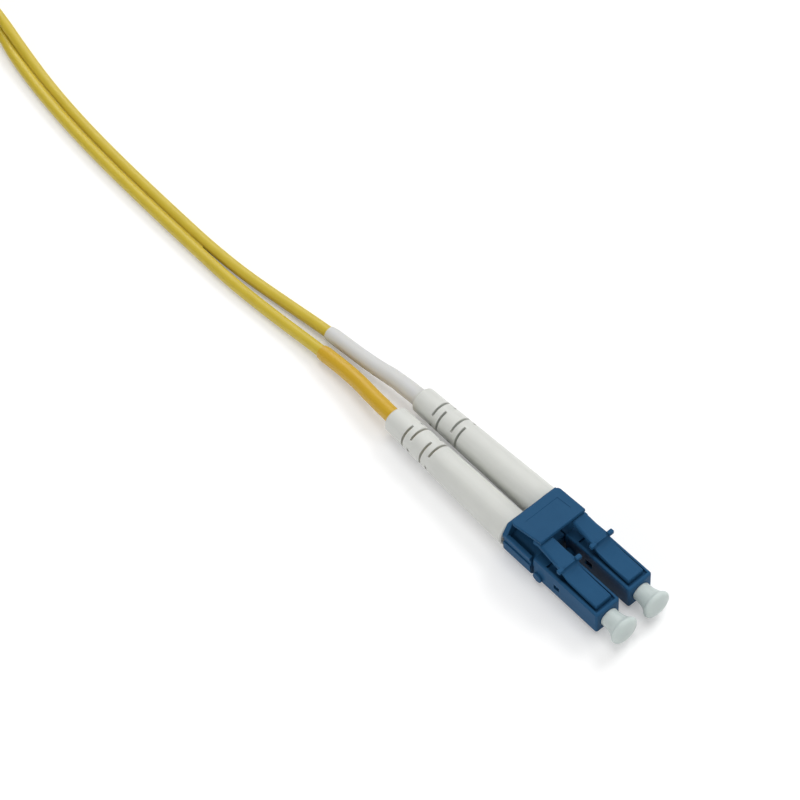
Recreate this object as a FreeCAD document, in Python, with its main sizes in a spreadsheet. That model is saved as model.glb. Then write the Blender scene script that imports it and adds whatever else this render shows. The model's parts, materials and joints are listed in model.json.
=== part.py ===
# Duplex fibre optic patch cord: two small-form plugs in a shared clip at each end of a zip cord.
# Millimetres. +X leaves the mating face, +Z is up, and Z = 0 is the surface that the cord lies on.
import FreeCAD, Part
import math
import os
import Sketcher

V = FreeCAD.Vector

doc = FreeCAD.newDocument("duplex_patch_cord")
sheet = doc.addObject("Spreadsheet::Sheet", "sizes")

# Driving sizes. "Behind" and "depth" are measured back from the mating face of the plug housing,
# heights of a plug's details from the axis of its ferrule.
SIZES = {
    # where the two ends lie
    "axis_height": 2.9,
    "ferrule_pitch": 6.25,
    "far_end_x": -126.5,
    "far_end_y": -30.3,
    "right_boot_toe_in": 0.6,
    "left_boot_toe_in": 1.0,
    "toe_in_pivot_depth": 20.0,
    # plug housing
    "housing_width": 4.5,
    "housing_length": 10.9,
    "housing_round": 0.3,
    "front_round": 0.4,
    "front_lip": 0.5,
    "channel_width": 3.64,
    "channel_floor": 1.75,
    "nose_bore_radius": 1.2,
    "nose_bore_depth": 2.4,
    "guide_radius": 0.75,
    "guide_length": 1.0,
    "cavity_radius": 1.4,
    "window_setback": 2.0,
    "window_length": 1.1,
    "window_height": 0.9,
    "window_drop": 0.6,
    # latch arm
    "latch_width": 2.86,
    "latch_tail_width": 2.35,
    "latch_front_depth": 0.98,
    "latch_root_height": 1.85,
    "latch_pivot_height": 1.95,
    "latch_pivot_depth": 1.3,
    "latch_hinge_radius": 0.18,
    "latch_top_height": 2.9,
    "crease_depth": 4.7,
    "crease_rise": 0.08,
    "step_depth": 6.95,
    "step_foot_height": 3.1,
    "step_radius": 1.0,
    "arm_belly_height": 2.4,
    "ear_depth": 7.65,
    "ear_length": 0.7,
    "ear_height": 4.0,
    "ear_thickness": 0.6,
    "ear_span": 4.4,
    "ear_reach": 0.95,
    "shoulder_height": 4.22,
    "shoulder_underside": 3.3,
    "tail_crest_depth": 13.2,
    "tail_crest_height": 4.98,
    "tail_end_depth": 14.3,
    "tail_end_height": 4.66,
    "tail_thickness": 0.85,
    "tail_crown_radius": 0.4,
    # ferrule, its flange and the spring behind it
    "ferrule_radius": 0.6245,
    "ferrule_reach": 1.9,
    "ferrule_length": 6.5,
    "ferrule_chamfer": 0.15,
    "press_gap": 0.01,
    "flange_gap": 0.05,
    "flange_clearance": 0.15,
    "flange_length": 1.45,
    "flange_tube_radius": 0.75,
    "flange_tube_bore": 0.5,
    "flange_tube_length": 1.3,
    "spring_wire_radius": 0.13,
    "spring_turns": 6,
    "spring_end_gap": 0.03,
    # rear body behind the housing
    "nose_length": 2.5,
    "nose_clearance": 0.05,
    "block_length": 2.2,
    "peg_radius": 0.85,
    "peg_reach": 0.45,
    "peg_setback": 1.15,
    "peg_drop": 1.25,
    "tab_length": 0.4,
    "tab_margin": 0.1,
    "tab_inset": 0.25,
    "stem_radius": 2.0,
    "stem_past_clip": 0.2,
    "crimp_stem_radius": 1.35,
    "crimp_stem_length": 4.9,
    "buffer_bore": 0.72,
    # crimp sleeve and the stripped end of the cord
    "crimp_gap": 0.03,
    "crimp_wall": 0.24,
    "crimp_setback": 0.3,
    "crimp_length": 4.4,
    "buffer_radius": 0.45,
    "buffer_end_gap": 1.0,
    "jacket_gap": 0.2,
    # boot
    "boot_front_gap": 0.15,
    "boot_length": 27.75,
    "boot_front_radius": 2.85,
    "boot_rear_radius": 2.2,
    "boot_rear_bevel": 0.35,
    "boot_front_round": 0.2,
    "boot_bore_radius": 1.75,
    "boot_bore_length": 5.6,
    "boot_taper_length": 1.5,
    "boot_bore_gap": 0.05,
    "slot_width": 0.42,
    "slot_arc": 140.0,
    "slot_row_setback": 4.5,
    "slot_row_step": 1.44,
    "slot_group_step": 4.3,
    "right_slot_turn": 64.0,
    "left_slot_turn": -20.0,
    # dust cap
    "cap_bore_gap": 0.035,
    "cap_bore_spare": 0.4,
    "cap_tube_gap": 0.05,
    "cap_tube_length": 2.2,
    "cap_face_gap": 0.03,
    "cap_neck_radius": 1.45,
    "cap_neck_length": 2.9,
    "cap_flare_radius": 4.6,
    "cap_flange_radius": 2.33,
    "cap_flange_length": 0.45,
    "cap_dome_height": 0.8,
    "cap_crown_rise": 0.35,
    "cap_crown_inset": 0.5,
    "cap_tip_radius": 0.95,
    # clip that holds two plugs
    "clip_front_gap": 0.5,
    "clip_length": 5.8,
    "clip_width": 11.4,
    "clip_wall_height": 2.1,
    "clip_bottom_round": 1.6,
    "clip_top_round": 0.2,
    "bay_clearance": 0.05,
    "bay_mouth_width": 3.9,
    "bay_divider_height": 1.2,
    "side_groove_bottom": 0.25,
    "side_groove_height": 0.95,
    "side_groove_depth": 0.2,
    "rear_wall_thickness": 0.8,
    "rear_wall_height": 4.0,
    "rear_wall_top_width": 9.0,
    # trigger plate
    "trigger_pivot_height": 4.3,
    "trigger_pivot_inset": 0.65,
    "trigger_tilt": 9.4,
    "trigger_hinge_gap": 0.02,
    "trigger_reach": 6.2,
    "trigger_top": 0.435,
    "trigger_thickness": 0.55,
    "trigger_front_width": 8.64,
    "trigger_rear_width": 9.26,
    "trigger_corner_radius": 0.7,
    "trigger_rib_width": 0.6,
    "trigger_rib_height": 0.25,
    "trigger_rib_length": 3.2,
    "trigger_panel_width": 6.2,
    "trigger_panel_length": 3.0,
    "trigger_panel_start": 1.6,
    "trigger_panel_depth": 0.05,
    "trigger_edge_round": 0.15,
    # cord, identification sleeves and hank
    "cord_radius": 1.0,
    "pair_spacing": 2.1,
    "leg_start_setback": 12.5,
    "straight_past_boot": 3.4,
    "far_leg_free": 22.0,
    "sleeve_gap": 0.02,
    "sleeve_radius": 1.3,
    "right_sleeve_length": 31.3,
    "left_sleeve_length": 33.6,
    "far_sleeve_length": 26.0,
    "hank_x": -160.0,
    "hank_y": -10.0,
    "hank_run": 47.0,
    "hank_outer_lane": 13.7,
    "hank_lane_step": 1.4,
    "hank_waist": 4.5,
    "hank_lift": 0.9,
    "hank_layer_gap": 0.45,
    "hank_straight": 2.0,
    "tie_length": 7.6,
    "tie_band": 8.0,
    "tie_thickness": 0.8,
    "tie_gap": 0.06,
    "tie_round": 1.2,
}

for row, (alias, value) in enumerate(SIZES.items(), start=1):
    sheet.set(f"A{row}", alias.replace("_", " "))
    sheet.set(f"B{row}", f"{value}")
    sheet.setAlias(f"B{row}", alias)
doc.recompute()

REAR_PITCH = "(sizes.ferrule_pitch / 2)"
HALF_HOUSING = "(sizes.housing_width / 2)"
BLOCK_END = "(sizes.housing_length + sizes.block_length)"
CLIP_FRONT = f"({BLOCK_END} + sizes.clip_front_gap)"
CLIP_REAR = f"({CLIP_FRONT} + sizes.clip_length)"
STEM_END = f"({CLIP_REAR} + sizes.stem_past_clip)"
CRIMP_STEM_END = f"({STEM_END} + sizes.crimp_stem_length)"
SPRING_SEAT = "(sizes.housing_length - sizes.nose_length)"
GUIDE_END = "(sizes.nose_bore_depth + sizes.guide_length)"
FLANGE_FRONT = f"({GUIDE_END} + sizes.flange_gap)"
FLANGE_REAR = f"({FLANGE_FRONT} + sizes.flange_length)"
BOOT_FRONT = f"({STEM_END} + sizes.boot_front_gap)"
BOOT_REAR = f"({BOOT_FRONT} + sizes.boot_length)"
LEG_START = f"({BOOT_REAR} - sizes.leg_start_setback)"
WINDOW_REAR = "(sizes.housing_length - sizes.window_setback)"
TRIGGER_PIVOT = f"({CLIP_REAR} - sizes.trigger_pivot_inset)"
CAP_FLANGE_START = "(sizes.cap_face_gap + sizes.cap_neck_length)"
CAP_REACH = f"({CAP_FLANGE_START} + sizes.cap_flange_length + sizes.cap_dome_height)"
NEAR_END_X = f"(({BOOT_REAR} - {CAP_REACH}) / 2)"


def number(expression):
    """The value of an expression over the sheet's cells, as the cells stand now."""
    value = sheet.evalExpression(expression.replace("sizes.", ""))
    return float(getattr(value, "Value", value))


def bind(thing, **expressions):
    """Binds properties to expressions; a double underscore in a name stands for a dot."""
    for name, expression in expressions.items():
        thing.setExpression(name.replace("__", "."), expression)


def put(thing, at):
    """Binds a sub-part's place to three expressions."""
    bind(thing, Placement__Base__x=at[0], Placement__Base__y=at[1], Placement__Base__z=at[2])


def new_body(label):
    body = doc.addObject("PartDesign::Body", label)
    body.Label = label
    return body


def origin_plane(body, role):
    return next(plane for plane in body.Origin.OriginFeatures if plane.Role == role)


def new_sketch(body, plane, lift="0", turn=0.0):
    """An empty sketch on an origin plane of its body, lifted off it along its normal."""
    sketch = body.newObject("Sketcher::SketchObject", f"{body.Name}_sketch")
    sketch.AttachmentSupport = (origin_plane(body, plane), [""])
    sketch.MapMode = "FlatFace"
    sketch.AttachmentOffset = FreeCAD.Placement(V(0, 0, 0), FreeCAD.Rotation(V(1, 0, 0), turn))
    sketch.setExpression("AttachmentOffset.Base.z", lift)
    return sketch


def add_outline(sketch, points, arcs=None):
    """A closed outline through bound points. arcs maps the number of a side to the expressions of
    its radius and of a value whose sign says to which hand it bulges, seen from its first point."""
    arcs = arcs or {}
    first = sketch.GeometryCount
    corners = [V(number(x), number(y), 0) for x, y in points]
    ends = []
    for side, start in enumerate(corners):
        end = corners[(side + 1) % len(corners)]
        if side in arcs:
            radius, hand = arcs[side]
            chord = end - start
            across = V(chord.y, -chord.x, 0).normalize() * hand
            height = number(radius) - math.sqrt(number(radius) ** 2 - (chord.Length / 2) ** 2)
            sketch.addGeometry(Part.Arc(start, (start + end) / 2 + across * height, end), False)
        else:
            sketch.addGeometry(Part.LineSegment(start, end), False)
        forward = sketch.Geometry[-1].StartPoint.distanceToPoint(start) < 1e-6
        ends.append((1, 2) if forward else (2, 1))
    for side, (x, y) in enumerate(points):
        before = (side - 1) % len(corners)
        place = ends[side][0]
        sketch.addConstraint(
            Sketcher.Constraint("Coincident", first + before, ends[before][1], first + side, place)
        )
        for kind, expression, where in (("DistanceX", x, "x"), ("DistanceY", y, "y")):
            rule = sketch.addConstraint(
                Sketcher.Constraint(kind, -1, 1, first + side, place, number(expression))
            )
            sketch.renameConstraint(rule, f"{where}{first + side}")
            sketch.setExpression(f"Constraints.{where}{first + side}", expression)
    for side, (radius, hand) in arcs.items():
        rule = sketch.addConstraint(Sketcher.Constraint("Radius", first + side, number(radius)))
        sketch.renameConstraint(rule, f"radius{first + side}")
        sketch.setExpression(f"Constraints.radius{first + side}", radius)


def outline_sketch(body, plane, points, arcs=None, lift="0"):
    sketch = new_sketch(body, plane, lift)
    add_outline(sketch, points, arcs)
    return sketch


def rectangle(low_x, high_x, low_y, high_y):
    return [(low_x, low_y), (high_x, low_y), (high_x, high_y), (low_x, high_y)]


def circle_sketch(body, plane, x, y, radius, lift="0"):
    sketch = new_sketch(body, plane, lift)
    sketch.addGeometry(Part.Circle(V(number(x), number(y), 0), V(0, 0, 1), number(radius)), False)
    for kind, expression, name in (("DistanceX", x, "x"), ("DistanceY", y, "y")):
        rule = sketch.addConstraint(Sketcher.Constraint(kind, -1, 1, 0, 3, number(expression)))
        sketch.renameConstraint(rule, name)
        sketch.setExpression(f"Constraints.{name}", expression)
    rule = sketch.addConstraint(Sketcher.Constraint("Radius", 0, number(radius)))
    sketch.renameConstraint(rule, "radius")
    sketch.setExpression("Constraints.radius", radius)
    return sketch


def sweep_straight(body, kind, sketch, length, reverse=False, both_ways=False):
    """A pad or pocket of a bound length."""
    feature = body.newObject(f"PartDesign::{kind}", f"{body.Name}_{kind.lower()}")
    feature.Profile = sketch
    feature.setExpression("Length", length)
    feature.Reversed = reverse
    feature.Midplane = both_ways
    return feature


def turn_about_x(body, kind, sketch, angle="360"):
    """A revolution or groove about the plug's own axis, centred on the sketch's plane."""
    feature = body.newObject(f"PartDesign::{kind}", f"{body.Name}_{kind.lower()}")
    feature.Profile = sketch
    feature.ReferenceAxis = (sketch, ["H_Axis"])
    feature.setExpression("Angle", angle)
    feature.Midplane = True
    return feature


def turned_part(label, at, points, arcs=None):
    """A body of revolution about the plug's axis; each point is a place along it and a radius."""
    body = new_body(label)
    turn_about_x(body, "Revolution", outline_sketch(body, "XZ_Plane", points, arcs))
    put(body, at)
    return body


def soften(body, kind, size, chosen):
    """A fillet or chamfer on the edges of the body's tip that chosen() accepts."""
    doc.recompute()
    base = body.Tip
    names = [f"Edge{i}" for i, edge in enumerate(base.Shape.Edges, start=1) if chosen(edge)]
    feature = body.newObject(f"PartDesign::{kind}", f"{body.Name}_{kind.lower()}")
    feature.Base = (base, names)
    feature.setExpression("Radius" if kind == "Fillet" else "Size", size)
    return feature


def along(edge, axis, tolerance=1e-4):
    """Whether an edge is straight and runs along an axis."""
    if not isinstance(edge.Curve, Part.Line) or edge.Length < tolerance:
        return False
    direction = edge.Vertexes[-1].Point - edge.Vertexes[0].Point
    return abs(abs(direction.normalize().dot(axis)) - 1) < tolerance


def near(a, b, tolerance=1e-4):
    return abs(a - b) < tolerance


# Plug housing: a square tube with a bore for the ferrule and an open channel for the latch.
def make_housing(label, at):
    body = new_body(label)
    half = HALF_HOUSING
    square = rectangle(f"-{half}", half, f"-{half}", half)
    sweep_straight(body, "Pad", outline_sketch(body, "YZ_Plane", square), "sizes.housing_length", True)
    soften(body, "Fillet", "sizes.housing_round", lambda edge: along(edge, V(1, 0, 0)))
    front_face_edge = lambda edge: near(edge.BoundBox.XMin, 0) and near(edge.BoundBox.XMax, 0)
    soften(body, "Fillet", "sizes.front_round", front_face_edge)
    channel = rectangle(
        "-(sizes.housing_length + 1)", "-sizes.front_lip", "-sizes.channel_width / 2", "sizes.channel_width / 2"
    )
    channel_sketch = outline_sketch(body, "XY_Plane", channel, lift="sizes.channel_floor")
    sweep_straight(body, "Pocket", channel_sketch, "sizes.housing_width", True)
    bores = [
        ("1", "0"),
        ("1", "sizes.nose_bore_radius"),
        ("-sizes.nose_bore_depth", "sizes.nose_bore_radius"),
        ("-sizes.nose_bore_depth", "sizes.guide_radius"),
        (f"-{GUIDE_END}", "sizes.guide_radius"),
        (f"-{GUIDE_END}", "sizes.cavity_radius"),
        ("-(sizes.housing_length + 1)", "sizes.cavity_radius"),
        ("-(sizes.housing_length + 1)", "0"),
    ]
    turn_about_x(body, "Groove", outline_sketch(body, "XZ_Plane", bores))
    window = rectangle(
        f"-{WINDOW_REAR}",
        f"-({WINDOW_REAR} - sizes.window_length)",
        "-sizes.window_drop",
        "sizes.window_height - sizes.window_drop",
    )
    window_sketch = outline_sketch(body, "XZ_Plane", window)
    sweep_straight(body, "Pocket", window_sketch, "sizes.housing_width + 1", both_ways=True)
    put(body, at)
    return body


# Latch arm: a cantilever from the housing's front, stepped up to two ears, with a crowned tail.
def make_latch(label, at):
    body = new_body(label)
    side = [
        ("-sizes.latch_front_depth", "sizes.latch_root_height"),
        ("-sizes.latch_front_depth", "sizes.latch_top_height"),
        ("-sizes.crease_depth", "sizes.latch_top_height + sizes.crease_rise"),
        ("-sizes.step_depth", "sizes.step_foot_height"),
        ("-sizes.step_depth", "sizes.shoulder_height"),
        ("-(sizes.ear_depth + sizes.ear_length)", "sizes.shoulder_height"),
        ("-sizes.tail_crest_depth", "sizes.tail_crest_height"),
        ("-sizes.tail_end_depth", "sizes.tail_end_height"),
        ("-sizes.tail_end_depth", "sizes.tail_end_height - sizes.tail_thickness"),
        ("-sizes.tail_crest_depth", "sizes.tail_crest_height - sizes.tail_thickness"),
        ("-(sizes.ear_depth + sizes.ear_length)", "sizes.shoulder_underside"),
        ("-sizes.step_depth", "sizes.arm_belly_height"),
    ]
    sweep_straight(
        body, "Pad", outline_sketch(body, "XZ_Plane", side), "sizes.latch_width", both_ways=True
    )
    hollow = circle_sketch(
        body, "XZ_Plane", "-sizes.step_depth", "sizes.step_foot_height + sizes.step_radius", "sizes.step_radius"
    )
    sweep_straight(body, "Pocket", hollow, "sizes.latch_width + 1", both_ways=True)
    taper_start = "-(sizes.ear_depth + sizes.ear_length)"
    taper_end = "-(sizes.tail_end_depth + 1)"
    tapers = new_sketch(body, "XY_Plane")
    for sign in ("", "-"):
        add_outline(
            tapers,
            [
                (taper_start, f"{sign}(sizes.latch_width / 2)"),
                (taper_end, f"{sign}(sizes.latch_tail_width / 2)"),
                (taper_end, f"{sign}(sizes.latch_width / 2 + 1)"),
                (taper_start, f"{sign}(sizes.latch_width / 2 + 1)"),
            ],
        )
    sweep_straight(body, "Pocket", tapers, "sizes.tail_crest_height + 1", True)
    crown_start = -number("sizes.ear_depth + sizes.ear_length")
    crown_floor = number("sizes.tail_end_height") - 0.5 * number("sizes.tail_thickness")
    on_crown = lambda edge: (
        edge.BoundBox.XMax < crown_start + 1e-3
        and edge.BoundBox.ZMin > min(crown_floor, number("sizes.shoulder_height") - 0.1)
        and edge.BoundBox.YLength < 0.5
        and edge.BoundBox.XLength > 0.5
        and abs(edge.BoundBox.Center.y) > 0.5
    )
    soften(body, "Fillet", "sizes.tail_crown_radius", on_crown)
    ears = new_sketch(body, "XY_Plane", "sizes.ear_height")
    for sign in ("", "-"):
        add_outline(
            ears,
            [
                ("-sizes.ear_depth", f"{sign}(sizes.ear_span / 2 - sizes.ear_reach)"),
                ("-sizes.ear_depth", f"{sign}(sizes.ear_span / 2)"),
                ("-(sizes.ear_depth + sizes.ear_length)", f"{sign}(sizes.ear_span / 2)"),
                ("-(sizes.ear_depth + sizes.ear_length)", f"{sign}(sizes.ear_span / 2 - sizes.ear_reach)"),
            ],
        )
    sweep_straight(body, "Pad", ears, "sizes.ear_thickness")
    bead = circle_sketch(
        body, "XZ_Plane", "-sizes.latch_pivot_depth", "sizes.latch_pivot_height", "sizes.latch_hinge_radius"
    )
    sweep_straight(body, "Pad", bead, "sizes.latch_width", both_ways=True)
    put(body, at)
    return body


# Ferrule with its bevelled tip, and the metal flange that it is pressed into.
def make_ferrule(label, at):
    tip = "sizes.ferrule_reach"
    rear = "-(sizes.ferrule_length - sizes.ferrule_reach)"
    points = [
        (tip, "0"),
        (tip, "sizes.ferrule_radius - sizes.ferrule_chamfer"),
        (f"{tip} - sizes.ferrule_chamfer", "sizes.ferrule_radius"),
        (rear, "sizes.ferrule_radius"),
        (rear, "0"),
    ]
    return turned_part(label, at, points)


def make_flange(label, at):
    seat = "(sizes.ferrule_radius + sizes.press_gap)"
    seat_end = "-(sizes.ferrule_length - sizes.ferrule_reach + sizes.press_gap)"
    rim = "(sizes.cavity_radius - sizes.flange_clearance)"
    tube_end = f"-({FLANGE_REAR} + sizes.flange_tube_length)"
    points = [
        (f"-{FLANGE_FRONT}", seat),
        (f"-{FLANGE_FRONT}", rim),
        (f"-{FLANGE_REAR}", rim),
        (f"-{FLANGE_REAR}", "sizes.flange_tube_radius"),
        (tube_end, "sizes.flange_tube_radius"),
        (tube_end, "sizes.flange_tube_bore"),
        (seat_end, "sizes.flange_tube_bore"),
        (seat_end, seat),
    ]
    return turned_part(label, at, points)


# Compression spring between the flange and the rear body's nose.
def make_spring(label, at):
    wire = number("sizes.spring_wire_radius")
    coil_radius = number("(sizes.cavity_radius - sizes.flange_clearance + sizes.flange_tube_radius) / 2")
    front = number(f"{FLANGE_REAR} + sizes.spring_end_gap") + wire
    rear = f"({SPRING_SEAT} - sizes.spring_end_gap - sizes.spring_wire_radius)"
    turns = number("sizes.spring_turns")
    span = number(rear) - front
    helix = Part.makeHelix(span / turns, span, coil_radius)
    start = helix.Edges[0].Vertexes[0].Point
    section = Part.Wire(Part.makeCircle(wire, start, V(0, 1, 0)))
    coil = Part.Wire(helix.Edges).makePipeShell([section], True, True)
    coil.rotate(V(0, 0, 0), V(0, 1, 0), 90)
    spring = doc.addObject("Part::Feature", label)
    spring.Label = label
    spring.Shape = coil
    put(spring, (f"{at[0]} - {rear}", at[1], at[2]))
    return spring


# Rear body: a nose in the housing, a square block with side pegs, and a hollow stem to crimp on.
def make_rear_body(label, at):
    body = new_body(label)
    core = [
        (f"-{SPRING_SEAT}", "0"),
        (f"-{SPRING_SEAT}", "sizes.cavity_radius - sizes.nose_clearance"),
        ("-sizes.housing_length", "sizes.cavity_radius - sizes.nose_clearance"),
        ("-sizes.housing_length", "sizes.stem_radius"),
        (f"-{STEM_END}", "sizes.stem_radius"),
        (f"-{STEM_END}", "sizes.crimp_stem_radius"),
        (f"-{CRIMP_STEM_END}", "sizes.crimp_stem_radius"),
        (f"-{CRIMP_STEM_END}", "0"),
    ]
    turn_about_x(body, "Revolution", outline_sketch(body, "XZ_Plane", core))
    half = HALF_HOUSING
    square = rectangle(f"-{half}", half, f"-{half}", half)
    block = outline_sketch(body, "YZ_Plane", square, lift="-sizes.housing_length")
    sweep_straight(body, "Pad", block, "sizes.block_length", True)
    block_corner = number(half)
    soften(
        body,
        "Fillet",
        "sizes.housing_round",
        lambda edge: along(edge, V(1, 0, 0)) and near(abs(edge.Vertexes[0].Y), block_corner),
    )
    peg = circle_sketch(
        body, "XZ_Plane", "-(sizes.housing_length + sizes.peg_setback)", "-sizes.peg_drop", "sizes.peg_radius"
    )
    sweep_straight(body, "Pad", peg, "sizes.housing_width + 2 * sizes.peg_reach", both_ways=True)
    tab_front = f"({WINDOW_REAR} - sizes.tab_margin - sizes.tab_length)"
    tab = rectangle(
        f"-({tab_front} + sizes.tab_length)",
        f"-{tab_front}",
        "sizes.tab_margin - sizes.window_drop",
        "sizes.window_height - sizes.window_drop - sizes.tab_margin",
    )
    tab_sketch = outline_sketch(body, "XZ_Plane", tab)
    sweep_straight(body, "Pad", tab_sketch, "sizes.housing_width - 2 * sizes.tab_inset", both_ways=True)
    bore = rectangle(f"-({CRIMP_STEM_END} + 1)", f"1 - {SPRING_SEAT}", "0", "sizes.buffer_bore")
    turn_about_x(body, "Groove", outline_sketch(body, "XZ_Plane", bore))
    put(body, at)
    return body


def make_crimp_sleeve(label, at):
    inner = "(sizes.crimp_stem_radius + sizes.crimp_gap)"
    front = f"({STEM_END} + sizes.crimp_setback)"
    points = rectangle(f"-({front} + sizes.crimp_length)", f"-{front}", inner, f"{inner} + sizes.crimp_wall")
    return turned_part(label, at, points)


# The cord's own end: the jacket stops behind the crimp, and the buffered fibre runs on.
def make_stripped_end(label, at):
    buffer_front = f"({SPRING_SEAT} - sizes.buffer_end_gap)"
    jacket_front = f"({CRIMP_STEM_END} + sizes.jacket_gap)"
    points = [
        (f"-{buffer_front}", "0"),
        (f"-{buffer_front}", "sizes.buffer_radius"),
        (f"-{jacket_front}", "sizes.buffer_radius"),
        (f"-{jacket_front}", "sizes.cord_radius"),
        (f"-{LEG_START}", "sizes.cord_radius"),
        (f"-{LEG_START}", "0"),
    ]
    return turned_part(label, at, points)


# Boot: a tapered sleeve with a bevelled end and four staggered rows of flex slots.
def make_boot(label, at, slot_turn):
    body = new_body(label)
    rear_bore = "(sizes.sleeve_radius + sizes.boot_bore_gap)"
    taper_start = f"({BOOT_FRONT} + sizes.boot_bore_length)"
    points = [
        (f"-{BOOT_FRONT}", "sizes.boot_bore_radius"),
        (f"-{BOOT_FRONT}", "sizes.boot_front_radius - sizes.boot_front_round"),
        (f"-({BOOT_FRONT} + sizes.boot_front_round)", "sizes.boot_front_radius"),
        (f"-({BOOT_REAR} - sizes.boot_rear_bevel)", "sizes.boot_rear_radius"),
        (f"-{BOOT_REAR}", "sizes.boot_rear_radius - sizes.boot_rear_bevel"),
        (f"-{BOOT_REAR}", rear_bore),
        (f"-({taper_start} + sizes.boot_taper_length)", rear_bore),
        (f"-{taper_start}", "sizes.boot_bore_radius"),
    ]
    turn_about_x(body, "Revolution", outline_sketch(body, "XZ_Plane", points))
    cuts = []
    for row, turn in ((0, 0.0), (1, 90.0)):
        sketch = new_sketch(body, "XZ_Plane")
        sketch.setExpression("AttachmentOffset.Rotation.Angle", f"{slot_turn} + {turn}")
        for group in (0, 1):
            middle = (
                f"({BOOT_REAR} - sizes.slot_row_setback - {row} * sizes.slot_row_step"
                f" - {group} * sizes.slot_group_step)"
            )
            add_outline(
                sketch,
                rectangle(
                    f"-({middle} + sizes.slot_width / 2)",
                    f"-({middle} - sizes.slot_width / 2)",
                    "0.5 * sizes.boot_rear_radius",
                    "sizes.boot_front_radius",
                ),
            )
        cuts.append(turn_about_x(body, "Groove", sketch, "sizes.slot_arc"))
    pattern = body.newObject("PartDesign::PolarPattern", f"{body.Name}_polar")
    pattern.Originals = cuts
    pattern.Axis = (cuts[0].Profile[0], ["H_Axis"])
    pattern.Angle = 360
    pattern.Occurrences = 2
    body.Tip = pattern
    put(body, at)
    return body


# Dust cap: a thin tube over the ferrule, a neck on the housing's face and a flared grip.
def make_dust_cap(label, at):
    bore = "(sizes.ferrule_radius + sizes.cap_bore_gap)"
    bore_end = "(sizes.ferrule_reach + sizes.cap_bore_spare)"
    tube = "(sizes.nose_bore_radius - sizes.cap_tube_gap)"
    flange_end = f"({CAP_FLANGE_START} + sizes.cap_flange_length)"
    points = [
        ("-sizes.cap_tube_length", bore),
        ("-sizes.cap_tube_length", tube),
        ("sizes.cap_face_gap", tube),
        ("sizes.cap_face_gap", "sizes.cap_neck_radius"),
        (CAP_FLANGE_START, "sizes.cap_flange_radius"),
        (flange_end, "sizes.cap_flange_radius"),
        (f"{flange_end} + sizes.cap_crown_rise", "sizes.cap_flange_radius - sizes.cap_crown_inset"),
        (CAP_REACH, "sizes.cap_tip_radius"),
        (CAP_REACH, "0"),
        (bore_end, "0"),
        (bore_end, bore),
    ]
    return turned_part(label, at, points, {3: ("sizes.cap_flare_radius", 1)})


# Clip: a tray with two round bays for the stems, and a rear wall that carries the trigger.
def make_clip(label, at):
    body = new_body(label)
    half = "(sizes.clip_width / 2)"
    tray = rectangle(f"-{half}", half, "-sizes.axis_height", "sizes.clip_wall_height")
    tray_sketch = outline_sketch(body, "YZ_Plane", tray, lift=f"-{CLIP_FRONT}")
    sweep_straight(body, "Pad", tray_sketch, "sizes.clip_length", True)
    bottom = -number("sizes.axis_height")
    side = number(half)
    at_side = lambda edge: along(edge, V(1, 0, 0)) and near(abs(edge.Vertexes[0].Y), side)
    soften(
        body, "Fillet", "sizes.clip_bottom_round", lambda edge: at_side(edge) and near(edge.Vertexes[0].Z, bottom)
    )
    soften(
        body, "Fillet", "sizes.clip_top_round", lambda edge: at_side(edge) and not near(edge.Vertexes[0].Z, bottom)
    )
    wall = [
        (f"-{half}", "0"),
        (half, "0"),
        (half, "sizes.clip_wall_height - sizes.clip_top_round"),
        ("sizes.rear_wall_top_width / 2", "sizes.rear_wall_height"),
        ("-sizes.rear_wall_top_width / 2", "sizes.rear_wall_height"),
        (f"-{half}", "sizes.clip_wall_height - sizes.clip_top_round"),
    ]
    wall_sketch = outline_sketch(body, "YZ_Plane", wall, lift=f"sizes.rear_wall_thickness - {CLIP_REAR}")
    sweep_straight(body, "Pad", wall_sketch, "sizes.rear_wall_thickness", True)
    bay_radius = "sizes.stem_radius + sizes.bay_clearance"
    mouths = new_sketch(body, "YZ_Plane", f"-{CLIP_FRONT}")
    for sign in ("", "-"):
        middle = f"{sign}{REAR_PITCH}"
        add_outline(
            mouths,
            rectangle(
                f"{middle} - sizes.bay_mouth_width / 2",
                f"{middle} + sizes.bay_mouth_width / 2",
                "0",
                "sizes.clip_wall_height + 1",
            ),
        )
    sweep_straight(body, "Pocket", mouths, "sizes.clip_length - sizes.rear_wall_thickness")
    for sign in ("", "-"):
        bay = circle_sketch(body, "YZ_Plane", f"{sign}{REAR_PITCH}", "0", bay_radius, lift=f"-{CLIP_FRONT}")
        sweep_straight(body, "Pocket", bay, "sizes.clip_length + 1")
    divider = rectangle("-sizes.ferrule_pitch / 2", "sizes.ferrule_pitch / 2", "sizes.bay_divider_height", "9")
    divider_sketch = outline_sketch(body, "YZ_Plane", divider, lift=f"-{CLIP_FRONT}")
    sweep_straight(body, "Pocket", divider_sketch, "sizes.clip_length - sizes.rear_wall_thickness")
    grooves = new_sketch(body, "YZ_Plane", f"1 - {CLIP_FRONT}")
    for sign in ("", "-"):
        add_outline(
            grooves,
            [
                (f"{sign}({half} + 1)", "sizes.side_groove_bottom"),
                (f"{sign}({half} + 1)", "sizes.side_groove_bottom + sizes.side_groove_height"),
                (
                    f"{sign}({half} - sizes.side_groove_depth)",
                    "sizes.side_groove_bottom + sizes.side_groove_height",
                ),
                (f"{sign}({half} - sizes.side_groove_depth)", "sizes.side_groove_bottom"),
            ],
        )
    sweep_straight(body, "Pocket", grooves, "sizes.clip_length + 2")
    put(body, at)
    return body


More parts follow.
